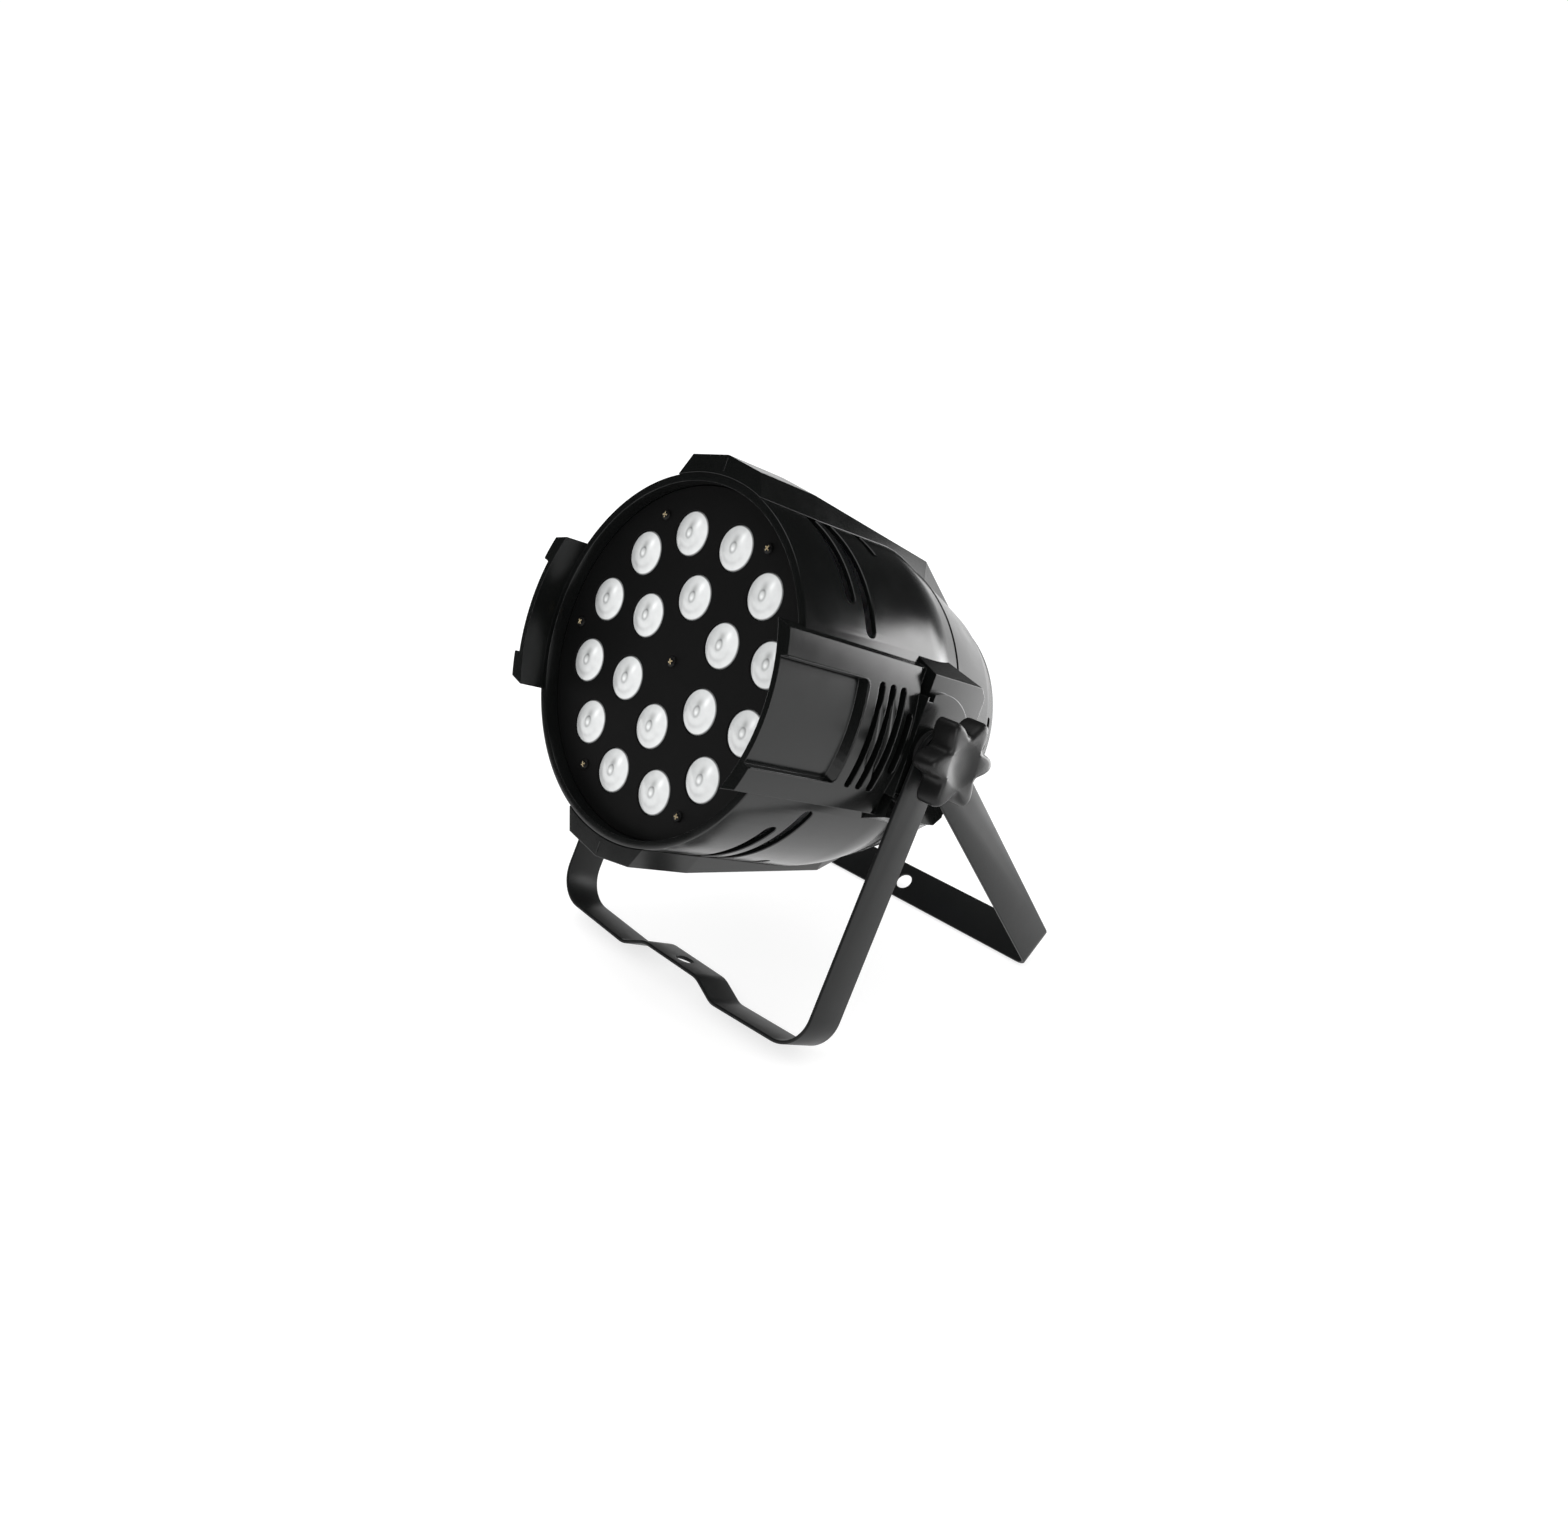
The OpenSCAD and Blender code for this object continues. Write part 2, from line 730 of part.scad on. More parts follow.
module fuse_holder() color("#202020") in_head() translate([0, fuse_y, 0]) {
    difference() {
        slab(panel_back_z - 5, panel_back_z, 8);
        box([10, 1.6, 2], [0, 0, panel_back_z - 5]);
    }
    slab(panel_back_z - eps, panel_back_z + 26, 6.4);
}

module safety_loop() color("#9a9da0") in_head() translate([0, loop_y, 0]) {
    wire = 2;
    leg_z = panel_back_z - 8;
    for (x = [-9, 9]) {
        translate([x, 0, 0]) slab(leg_z - eps, panel_front_z + 4, wire);
        translate([x, 0, 0]) slab(panel_front_z, panel_front_z + 2.5, 4.5);
    }
    translate([0, 0, leg_z]) rotate([-90, 0, 0])
        rotate_extrude(angle = 180) translate([9, 0]) circle(r = wire, $fn = 32);
}

// ---------- pivot ----------

module pivot_insert() {
    difference() {
        union() {
            along_x(insert_inner_x)
                cylinder(h = insert_flange_x - insert_inner_x, r = insert_flange_radius);
            along_x(insert_inner_x) cylinder(h = boss_x - insert_inner_x, r = insert_radius);
        }
        along_x(insert_inner_x - through) cylinder(h = reach, r = stud_hole);
    }
}

module pivot_inserts() color("#b08d4a") in_head() both_sides() pivot_insert();

module flat_washer(x, thickness, outer, hole) {
    along_x(x) difference() {
        cylinder(h = thickness, r = outer);
        translate([0, 0, -through]) cylinder(h = thickness + 2 * through, r = hole);
    }
}

module friction_washers() color("#1b1b1b") in_head()
    both_sides() flat_washer(boss_x, washer_x - boss_x, 14, stud_hole + 0.3);

module outer_washer() {
    flat_washer(outer_washer_x, outer_washer_thickness, 12, stud_hole);
}

module right_washer() color("#a3a6a8") in_head() outer_washer();

module left_washer() color("#a3a6a8") in_head() on_left() outer_washer();

module stud() {
    along_x(stud_start_x) cylinder(h = knob_x + stud_depth - stud_start_x, r = stud_radius);
}

module right_stud() color("#a3a6a8") in_head() stud();

module left_stud() color("#a3a6a8") in_head() on_left() stud();

module knob_lobe() {
    height = 16.5;
    chamfer = 1.5;
    web = 4;
    translate([knob_lobe_circle, 0, 0])
        rotate_extrude()
            polygon([[0, 0], [knob_lobe_radius - chamfer, 0], [knob_lobe_radius, chamfer],
                     [knob_lobe_radius, height - chamfer], [knob_lobe_radius - chamfer, height],
                     [0, height]]);
    box([knob_lobe_circle / 2, 2 * web, height - 2 * chamfer], [0.7 * knob_lobe_circle, 0, height / 2]);
}

// A collar, a thick disc with a domed front and a blind bore for the stud, with lobes around it
module knob() {
    collar = 3;
    disc = 20;
    top = 20;
    along_x(knob_x) {
        rotate_extrude()
            polygon([[stud_hole, 0], [11, 0], [11, collar + 1], [disc, collar + 1], [disc, top - 4],
                     [13, top], [0, top], [0, stud_depth], [stud_hole, stud_depth]]);
        for (i = [0 : knob_lobes - 1])
            rotate([0, 0, 3 + i * 360 / knob_lobes]) translate([0, 0, collar]) knob_lobe();
    }
}

module right_knob() color("#1e1f20") in_head() knob();

module left_knob() color("#1e1f20") in_head() on_left() knob();

// ---------- brackets, drawn hanging straight down from the pivot ----------

// Points of an arc in the x-z plane, from one angle to another
function arc(centre, radius, from_angle, to_angle, steps = 12) =
    [for (i = [0 : steps]) let (a = from_angle + (to_angle - from_angle) * i / steps)
        centre + radius * [cos(a), sin(a)]];

// The same points on the other side, in the same order or walking back
function flipped(points) = [for (p = points) [-p[0], p[1]]];
function mirrored(points) = [for (i = [len(points) - 1 : -1 : 0]) flipped(points)[i]];

// One side of a bent strap, from the top of the arm to the middle of the crossbar, moved
// inwards by inset: 0 gives its outer face and the strap's thickness its inner face
function half_strap_path(half_width, bend_radius, bend_z, bend_angle, crossbar, inset) = concat(
    [[half_width - inset, half_strap]],
    arc([half_width - bend_radius, bend_z], bend_radius - inset, 0, -bend_angle),
    [for (p = crossbar) p + [0, inset]]
);

// A U of bent strap with rounded tops, pivot holes and a clamp hole
module bent_strap(half_width, bend_radius, bend_z, bend_angle, crossbar) {
    outer = half_strap_path(half_width, bend_radius, bend_z, bend_angle, crossbar, 0);
    inner = half_strap_path(half_width, bend_radius, bend_z, bend_angle, crossbar, strap_thickness);
    side = concat([[-half_strap, -2 * reach], [half_strap, -2 * reach]],
                  arc([0, 0], half_strap, 0, 180, 24));
    difference() {
        intersection() {
            translate([0, half_strap + through, 0]) rotate([90, 0, 0])
                linear_extrude(height = strap_width + 2 * through)
                    polygon(concat(outer, mirrored(outer), flipped(inner), flipped(mirrored(inner))));
            rotate([90, 0, 90]) translate([0, 0, -reach]) linear_extrude(height = 2 * reach) polygon(side);
        }
        along_x(-reach) cylinder(h = 2 * reach, r = stud_hole);
        translate([0, 0, -2 * reach]) cylinder(h = 1.5 * reach, r = clamp_hole_radius);
    }
}

module front_bracket() color("#3c3c3c") at_pivot() rotate([-front_angle, 0, 0])
    bent_strap(front_half_width, front_bend_radius, front_bend_z, front_bend_angle,
               [[foot_x, -front_length], [hat_x, hat_height - front_length]]);

module rear_bracket() color("#383838") at_pivot() rotate([rear_angle, 0, 0])
    bent_strap(rear_half_width, rear_bend_radius, rear_bend_radius - rear_length, 90, []);

front_housing();
rear_housing();
top_rib();
bottom_rib();
right_cover();
left_cover();
led_plate();
plate_screws();
lenses();
lens_holders();
led_packages();
led_board();
standoffs();
heatsink();
chassis_plate();
fan_frame();
fan_rotor();
power_supply();
driver_board();
rear_panel();
panel_screws();
tie_screws();
display_window();
display_board();
menu_button();
down_button();
up_button();
enter_button();
signal_input();
signal_pins();
signal_output();
power_inlet();
power_outlet();
connector_screws();
fuse_holder();
safety_loop();
pivot_inserts();
friction_washers();
front_bracket();
rear_bracket();
right_washer();
left_washer();
right_stud();
left_stud();
right_knob();
left_knob();
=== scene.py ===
"""Looks of the par can light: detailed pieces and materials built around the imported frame."""
import json
import math
import random

import bmesh
import bpy
from mathutils import Matrix, Vector


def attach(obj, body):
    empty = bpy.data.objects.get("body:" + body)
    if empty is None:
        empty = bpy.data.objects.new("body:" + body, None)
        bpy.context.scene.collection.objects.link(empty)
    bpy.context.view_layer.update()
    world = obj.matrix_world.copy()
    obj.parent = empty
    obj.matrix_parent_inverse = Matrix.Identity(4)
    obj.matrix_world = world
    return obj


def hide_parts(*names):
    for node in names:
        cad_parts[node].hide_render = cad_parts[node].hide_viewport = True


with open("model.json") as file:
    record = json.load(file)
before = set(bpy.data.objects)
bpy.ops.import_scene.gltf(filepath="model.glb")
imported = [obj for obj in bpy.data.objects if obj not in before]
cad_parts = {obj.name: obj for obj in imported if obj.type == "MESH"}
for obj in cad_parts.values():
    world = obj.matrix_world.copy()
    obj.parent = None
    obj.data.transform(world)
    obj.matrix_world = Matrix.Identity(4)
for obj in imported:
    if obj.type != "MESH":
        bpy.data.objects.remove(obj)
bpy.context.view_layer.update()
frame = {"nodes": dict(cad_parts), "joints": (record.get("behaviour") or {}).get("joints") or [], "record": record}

random.seed(7)

# ---------- frames ----------

MM = 0.001
JOINTS = {joint["name"]: joint for joint in frame["joints"]}
MOUNTS = {mount["name"]: mount for mount in frame["record"]["mounts"]}
PIVOT = Vector(JOINTS["head_tilt"]["pos_m"])
ACROSS = Vector((1, 0, 0))


def frame_matrix(x, y, z):
    """Takes millimetres along three axes, measured from the pivot, to the model's frame."""
    turn = Matrix((x, y, z)).transposed().to_4x4()
    return Matrix.Translation(PIVOT) @ turn @ Matrix.Scale(MM, 4)


def strap_matrix(mount):
    """The frame of a bracket drawn hanging straight down: x across, y along its width, z up."""
    up = -Vector(MOUNTS[mount]["axis"]).normalized()
    return frame_matrix(ACROSS, up.cross(ACROSS), up)


FORWARD = Vector(JOINTS["fan_spin"]["axis"]).normalized()
HEAD = frame_matrix(ACROSS, FORWARD.cross(ACROSS), FORWARD)
FLIP_X = Matrix.Scale(-1, 4, (1, 0, 0))
ALONG_X = Matrix.Rotation(math.pi / 2, 4, "Y")

# ---------- sizes, in millimetres in the head's frame ----------

CAN_RADIUS = 118.0
WALL = 3.0
RIM_Z = 120.0
RIM_BORE = 112.7
PLATE_Z = 110.0
PLATE_BACK_Z = 107.5
SEAM_Z = -40.0
BLEND_Z = -2.0
BLEND_RADIUS = 90.0
TAPER = math.radians(15.7)
CONE_END_Z = -102.0
TAIL_Z = -120.0
TAIL_RADIUS = 86.5
PANEL_OPENING = 76.0
PANEL_BACK_Z = -117.0

# Each curved slot of the can: first and last angle from the side, middle height and width.
CAN_SLOTS = ((37, 75, 75, 8.6), (28, 75, 59.5, 9.0), (61, 75, 28, 6.5))

# Ledges inside the can: inner radius and front height.
LEDGES = ((104.0, 20.0), (98.0, 78.0))
PLATE_SEAT_RADIUS = 106.0
INSERT_BORE = 10.0
TAIL_VENT_ANGLES = (-15, -5, 5, 15)
TAIL_VENT_Z = -109.0
TAIL_VENT_SIZE = (6, 7)

# Spots on round parts are given as a radius and an angle.
LENS_RADIUS = 14.7
LENS_RISE = 3.2
LENS_EDGE_Z = PLATE_Z - 0.7
LENS_SPOTS = [(82.0, 15 + 30 * i) for i in range(12)] + [(42.4, 90 + 60 * i) for i in range(6)]
PLATE_SCREW_SPOTS = [(0.0, 0)] + [(98.3, 60 * i) for i in range(6)]
PANEL_SCREW_SPOTS = [(71, 30 + 60 * i) for i in range(6)]
TIE_SCREW_SPOTS = [(81.5, 45 + 90 * i) for i in range(4)]

# Each kind of screw: radius and height of its head, radius and length of its shank.
PLATE_SCREW = (3.4, 2.2, 1.5, 10)
PANEL_SCREW = (3, 1.8, 1.2, 5.2)
TIE_SCREW = (3.6, 2.2, 2, 144)
CONNECTOR_SCREW = (2.4, 1.6, 1.3, 6)

COVER_RADIUS = 124.0
COVER_FRONT_Z = 139.5
COVER_SLOT_ANGLES = (15.5, 15.5, 15.5, 9.0)
COVER_SLOT_Z = 54
COVER_SLOT_PITCH = 10.4
COVER_SLOT_WIDTH = 5.4
RECESS_ANGLE = 15.3
RECESS_END_Z = 66.0
RIB_LINE_ENDS = (120.6, 129.4)

PIVOT_BORE = 5.05
CLAMP_BORE = 6.5
STRAP_WIDTH = 29.4
STRAP_THICKNESS = 2.5
FRONT_X = 132.4
FRONT_DROP = 210.5
FRONT_BEND = 26
FRONT_STEP = 9.0
REAR_X = 135.2
REAR_BEND = 11

KNOB_X = 136.8
KNOB_LOBES = 6
KNOB_TURN = math.radians(8)
KNOB_VALLEY_RADIUS = 20
KNOB_LOBE_HEIGHT = 10.5

# Places on the rear panel are measured across and up from its middle. A hole's radius, or the
# display's width, height and corner radius, comes after its place.
KEY_SPOTS = [((i - 1.5) * 16, 22) for i in range(4)]
DISPLAY_HOLE = (0, 42, 46, 18, 0.8)
FUSE_HOLE = (0, -54, 6.5)
LOOP_HOLES = ((-9, 62, 2.05), (9, 62, 2.05))
SOCKET_COLUMNS = (-26, 26)
# Each row of sockets: its height and the radius of its holes in the panel.
SOCKET_ROWS = ((-8, 12), (-42, 12.5))
SOCKET_SCREW_OFFSET = (9.5, 12)

ROUND_STEPS = 192

# ---------- mesh helpers ----------


def new_piece(name, mesh, material, body, nodes=()):
    """Links a mesh as a piece that rides on a body and stands for CAD nodes."""
    piece = bpy.data.objects.new(name, mesh)
    bpy.context.scene.collection.objects.link(piece)
    for one in material if isinstance(material, (list, tuple)) else [material]:
        mesh.materials.append(one)
    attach(piece, body)
    if nodes:
        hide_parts(*nodes)


def mesh_from(bm, name, matrix=None):
    """Ends a bmesh: outward normals, placed by the matrix, as a mesh."""
    bmesh.ops.recalc_face_normals(bm, faces=bm.faces)
    if matrix is not None:
        bmesh.ops.transform(bm, matrix=matrix, verts=bm.verts)
        if matrix.determinant() < 0:
            bmesh.ops.reverse_faces(bm, faces=bm.faces)
    mesh = bpy.data.meshes.new(name)
    bm.to_mesh(mesh)
    bm.free()
    return mesh


def shade(mesh, sharp_degrees=30.0):
    """Smooth shading that stays sharp over real edges."""
    mesh.shade_smooth()
    mesh.set_sharp_from_angle(angle=math.radians(sharp_degrees))


def arc(centre, radius, start, end, steps):
    """Points of an arc, in degrees, from start to end."""
    points = []
    for i in range(steps + 1):
        a = math.radians(start + (end - start) * i / steps)
        points.append((centre[0] + radius * math.cos(a), centre[1] + radius * math.sin(a)))
    return points


def lathe_into(bm, profile, steps, closed=True, matrix=None):
    """Turns a profile of (radius, z) points about z. Points on the axis become single vertices."""
    made = []
    for radius, z in profile:
        if radius < 1e-6:
            made.append([bm.verts.new((0, 0, z))])
            continue
        ring = []
        for i in range(steps):
            a = 2 * math.pi * i / steps
            ring.append(bm.verts.new((radius * math.cos(a), radius * math.sin(a), z)))
        made.append(ring)
    pairs = list(zip(made, made[1:]))
    if closed and len(made[0]) > 1:
        pairs.append((made[-1], made[0]))
    for a, b in pairs:
        for i in range(steps):
            j = (i + 1) % steps
            corners = [a[i % len(a)], a[j % len(a)], b[j % len(b)], b[i % len(b)]]
            loop = [v for k, v in enumerate(corners) if v is not corners[k - 1]]
            if len(set(loop)) > 2:
                bm.faces.new(loop)
    verts = [v for ring in made for v in ring]
    if matrix is not None:
        bmesh.ops.transform(bm, matrix=matrix, verts=verts)
    return verts


def skin_rings(bm, rings, caps=True):
    """Joins closed rings of the same number of points with quads, and closes both ends."""
    made = [[bm.verts.new(p) for p in ring] for ring in rings]
    count = len(made[0])
    for a, b in zip(made, made[1:]):
        for i in range(count):
            j = (i + 1) % count
            bm.faces.new((a[i], a[j], b[j], b[i]))
    if caps:
        bm.faces.new(made[0])
        bm.faces.new(made[-1])
    return made


def carve(mesh, cutter):
    """The mesh with the cutter mesh taken out of it by an exact boolean. It uses up the cutter."""
    a = bpy.data.objects.new("carve_target", mesh)
    b = bpy.data.objects.new("carve_cutter", cutter)
    for one in (a, b):
        bpy.context.scene.collection.objects.link(one)
    change = a.modifiers.new("carve", "BOOLEAN")
    change.operation = "DIFFERENCE"
    change.solver = "EXACT"
    change.object = b
    result = applied(a)
    for one in (a, b):
        bpy.data.objects.remove(one)
    bpy.data.meshes.remove(cutter)
    return result


def applied(piece):
    """A new mesh with the piece's modifiers applied."""
    depsgraph = bpy.context.evaluated_depsgraph_get()
    depsgraph.update()
    return bpy.data.meshes.new_from_object(piece.evaluated_get(depsgraph))


def soften(mesh, width):
    """Rounds every edge that isn't nearly flat, with shading that keeps flat faces flat."""
    holder = bpy.data.objects.new("soften", mesh)
    bpy.context.scene.collection.objects.link(holder)
    bevel = holder.modifiers.new("bevel", "BEVEL")
    bevel.width = width * MM
    bevel.segments = 2
    bevel.limit_method = "ANGLE"
    bevel.angle_limit = math.radians(32)
    bevel.use_clamp_overlap = True
    bevel.miter_outer = "MITER_ARC"
    result = applied(holder)
    bpy.data.objects.remove(holder)
    shade(result, 40)
    return result


def cad_mesh(node):
    """A clean copy of a CAD node's mesh: welded, with its flat faces whole again."""
    bm = bmesh.new()
    bm.from_mesh(frame["nodes"][node].data)
    bmesh.ops.remove_doubles(bm, verts=bm.verts, dist=1e-6)
    bmesh.ops.dissolve_limit(bm, angle_limit=math.radians(0.4), verts=bm.verts, edges=bm.edges)
    mesh = bpy.data.meshes.new(node + "_clean")
    bm.to_mesh(mesh)
    bm.free()
    return mesh


def polished(node, material, body, width, name=None):
    """A CAD node with its edges rounded, as a piece of its own."""
    mesh = soften(cad_mesh(node), width)
    mesh.materials.clear()
    new_piece(name or node + "_shell", mesh, material, body, [node])


def sheet_into(bm, outline, holes, top_z, back_z, chamfer):
    """A flat plate with holes and broken front edges. The outline and the holes are loops of
    (x, y) points."""

    def resized(loop, amount):
        """The loop with each point moved away from its middle by the amount."""
        cx = sum(p[0] for p in loop) / len(loop)
        cy = sum(p[1] for p in loop) / len(loop)
        moved = []
        for x, y in loop:
            reach = math.hypot(x - cx, y - cy)
            moved.append((x + amount * (x - cx) / reach, y + amount * (y - cy) / reach))
        return moved

    fronts = []
    backs = []
    for loop, sign in [(outline, -1)] + [(hole, 1) for hole in holes]:
        levels = ((resized(loop, sign * chamfer), top_z), (loop, top_z - chamfer), (loop, back_z))
        rings = [[bm.verts.new((x, y, z)) for x, y in points] for points, z in levels]
        for a, b in zip(rings, rings[1:]):
            for i in range(len(loop)):
                j = (i + 1) % len(loop)
                bm.faces.new((a[i], a[j], b[j], b[i]))
        fronts += ring_edges(bm, rings[0])
        backs += ring_edges(bm, rings[-1])
    for edges, up in ((fronts, 1), (backs, -1)):
        bmesh.ops.triangle_fill(bm, edges=edges, use_beauty=True, normal=(0, 0, up))


def ring_edges(bm, ring):
    """The edges between neighbouring vertices of a closed ring."""
    return [bm.edges.get((ring[i - 1], ring[i])) for i in range(len(ring))]


def circle(x, y, radius, steps=48):
    """A round loop of (x, y) points."""
    return [(x + radius * math.cos(2 * math.pi * i / steps),
             y + radius * math.sin(2 * math.pi * i / steps)) for i in range(steps)]


def rounded_box(x, y, width, height, radius, steps=5):
    """A loop around a rectangle with round corners."""
    points = []
    for k, (sx, sy) in enumerate([(1, 1), (-1, 1), (-1, -1), (1, -1)]):
        centre = (x + sx * (width / 2 - radius), y + sy * (height / 2 - radius))
        points += arc(centre, radius, 90 * k, 90 * k + 90, steps)
    return points


def polar(radius, degrees):
    """Where a spot given as a radius and an angle lies."""
    a = math.radians(degrees)
    return radius * math.cos(a), radius * math.sin(a)


# ---------- materials ----------


class Paint:
    """A material under construction: its tree, its shader, and short ways to add nodes."""

    def __init__(self, name):
        self.material = bpy.data.materials.new(name)
        self.material.use_nodes = True
        self.tree = self.material.node_tree
        self.shader = self.tree.nodes["Principled BSDF"]
        self.place = self.tree.nodes.new("ShaderNodeTexCoord").outputs["Object"]

    def set(self, **values):
        for name, value in values.items():
            self.shader.inputs[name.replace("_", " ")].default_value = value

    def join(self, source, target):
        self.tree.links.new(source, self.shader.inputs[target] if isinstance(target, str) else target)

    def stretched(self, scale):
        node = self.tree.nodes.new("ShaderNodeMapping")
        node.inputs["Scale"].default_value = scale
        self.join(self.place, node.inputs["Vector"])
        return node.outputs["Vector"]

    def noise(self, scale, detail=2.0, place=None):
        node = self.tree.nodes.new("ShaderNodeTexNoise")
        node.inputs["Scale"].default_value = scale
        node.inputs["Detail"].default_value = detail
        self.join(place or self.place, node.inputs["Vector"])
        return node.outputs["Fac"]

    def cells(self, scale):
        node = self.tree.nodes.new("ShaderNodeTexVoronoi")
        node.inputs["Scale"].default_value = scale
        self.join(self.place, node.inputs["Vector"])
        return node.outputs["Distance"]

    def spread(self, source, low, high, source_low=0.3, source_high=0.7):
        node = self.tree.nodes.new("ShaderNodeMapRange")
        for name, value in (("From Min", source_low), ("From Max", source_high),
                            ("To Min", low), ("To Max", high)):
            node.inputs[name].default_value = value
        self.join(source, node.inputs["Value"])
        return node.outputs["Result"]

    def tint(self, source, stops):
        node = self.tree.nodes.new("ShaderNodeValToRGB")
        ramp = node.color_ramp
        for i, (position, colour) in enumerate(stops):
            stop = ramp.elements[i] if i < 2 else ramp.elements.new(position)
            stop.position = position
            stop.color = (*colour, 1)
        self.join(source, node.inputs["Fac"])
        return node.outputs["Color"]

    def bump(self, height, depth_mm, rounding_mm=0.0):
        node = self.tree.nodes.new("ShaderNodeBump")
        node.inputs["Distance"].default_value = depth_mm * MM
        self.join(height, node.inputs["Height"])
        if rounding_mm:
            edges = self.tree.nodes.new("ShaderNodeBevel")
            edges.samples = 8
            edges.inputs["Radius"].default_value = rounding_mm * MM
            self.join(edges.outputs["Normal"], node.inputs["Normal"])
        self.join(node.outputs["Normal"], "Normal")


def scaled(colour, factor):
    """A colour made lighter or darker."""
    return tuple(c * factor for c in colour)


def coating(name, colour, rough, grain=900.0, depth=0.03, specular=0.5, varied=0.18, rounding=0.0):
    """Paint or moulded plastic: a fine grain, with slow changes of tone and gloss. Its rounding,
    in millimetres, makes crisp edges catch the light as a small radius does."""
    paint = Paint(name)
    tones = [(0.3, scaled(colour, 1 - varied)), (0.7, scaled(colour, 1 + varied))]
    paint.join(paint.tint(paint.noise(14, 4), tones), "Base Color")
    paint.join(paint.spread(paint.noise(60, 3), rough - 0.02, rough + 0.03), "Roughness")
    paint.set(Specular_IOR_Level=specular)
    paint.bump(paint.noise(grain, 2), depth, rounding)
    return paint.material


def bare_metal(name, colour, rough, along=(1, 1, 12)):
    """Uncoated metal. Its marks are finer along the axes with the larger numbers."""
    paint = Paint(name)
    marks = paint.noise(260, 3, paint.stretched(along))
    tones = [(0.3, scaled(colour, 0.86)), (0.7, colour)]
    paint.join(paint.tint(paint.noise(25, 3), tones), "Base Color")
    paint.join(paint.spread(marks, rough - 0.06, rough + 0.1), "Roughness")
    paint.set(Metallic=1.0)
    paint.bump(marks, 0.01)
    return paint.material


def circuit_board(name, colour):
    """Solder mask with faint tracks under it."""
    paint = Paint(name)
    tracks = paint.cells(220)
    paint.join(paint.tint(tracks, [(0.25, scaled(colour, 0.7)), (0.35, colour)]), "Base Color")
    paint.join(paint.spread(paint.noise(90, 2), 0.3, 0.45), "Roughness")
    paint.bump(tracks, 0.03)
    return paint.material


def lens_plastic():
    """Pressed frosted acrylic: its tone and gloss follow a value on each vertex that holds the frosted white with
    painted light, shade, reflections and glints on it.
    """
    paint = Paint("lens_plastic")
    painted_light_and_tone = paint.tree.nodes.new("ShaderNodeAttribute")
    painted_light_and_tone.attribute_name = "painted_light_and_tone"
    # Fine clouds added to the frosted white with its painted light, shade, reflections and glints.
    clouds_and_painted_light = paint.tree.nodes.new("ShaderNodeMath")
    clouds_and_painted_light.operation = "MULTIPLY_ADD"
    paint.join(paint.noise(230, 3), clouds_and_painted_light.inputs[0])
    clouds_and_painted_light.inputs[1].default_value = 0.12
    paint.join(painted_light_and_tone.outputs["Fac"], clouds_and_painted_light.inputs[2])
    tones = [(0.05, (0.03, 0.032, 0.032)), (0.4, (0.20, 0.205, 0.205)), (0.75, (0.60, 0.61, 0.61)),
             (1.0, (0.86, 0.87, 0.87))]
    paint.join(paint.tint(clouds_and_painted_light.outputs["Value"], tones), "Base Color")
    paint.join(paint.spread(clouds_and_painted_light.outputs["Value"], 0.18, 0.42, 0.1, 1.0), "Roughness")
    paint.set(IOR=1.49, Coat_Weight=1.0, Coat_Roughness=0.04)
    paint.bump(paint.noise(700, 2), 0.02)
    return paint.material


def tinted_window():
    """Dark red display cover with slow ripples."""
    paint = Paint("display_red")
    tones = [(0.3, (0.012, 0.002, 0.002)), (0.7, (0.02, 0.003, 0.003))]
    paint.join(paint.tint(paint.noise(40, 2), tones), "Base Color")
    paint.join(paint.spread(paint.noise(120, 2), 0.05, 0.12), "Roughness")
    paint.bump(paint.noise(30, 2), 0.01)
    return paint.material


housing_black = coating("housing_black", (0.0034, 0.0038, 0.0037), 0.20, 120, 0.004)
cover_black = coating("cover_black", (0.0036, 0.0041, 0.0039), 0.20, 120, 0.004, 0.42, rounding=0.7)
face_black = coating("face_black", (0.0036, 0.0036, 0.0036), 0.55, 1200, 0.03, 0.12)
strap_black = coating("strap_black", (0.0075, 0.008, 0.008), 0.40, 1500, 0.03, 0.24)
knob_black = coating("knob_black", (0.006, 0.006, 0.006), 0.38, 1100, 0.03, 0.3)
panel_black = coating("panel_black", (0.018, 0.019, 0.019), 0.5, 1500, 0.05)
holder_black = coating("holder_black", (0.008, 0.008, 0.008), 0.55)
screw_black = coating("screw_black", (0.004, 0.004, 0.004), 0.4, 600, 0.01, 0.2)
button_grey = coating("button_grey", (0.035, 0.036, 0.038), 0.45)
connector_black = coating("connector_black", (0.022, 0.023, 0.024), 0.32, 500, 0.02)
inlet_blue = coating("inlet_blue", (0.02, 0.09, 0.34), 0.34, 500, 0.02)
outlet_grey = coating("outlet_grey", (0.42, 0.43, 0.44), 0.38, 500, 0.02)
fan_black = coating("fan_black", (0.02, 0.02, 0.02), 0.5)
friction_black = coating("friction_black", (0.012, 0.012, 0.012), 0.8, 1500, 0.08, 0.3)
board_white = circuit_board("board_white", (0.75, 0.77, 0.74))
board_green = circuit_board("board_green", (0.015, 0.12, 0.04))
board_blue = circuit_board("board_blue", (0.015, 0.05, 0.2))
led_yellow = coating("led_yellow", (0.75, 0.70, 0.30), 0.4, 900, 0.02)
aluminium = bare_metal("aluminium", (0.60, 0.61, 0.62), 0.38)
zinc_steel = bare_metal("zinc_steel", (0.55, 0.56, 0.56), 0.34, (6, 6, 6))
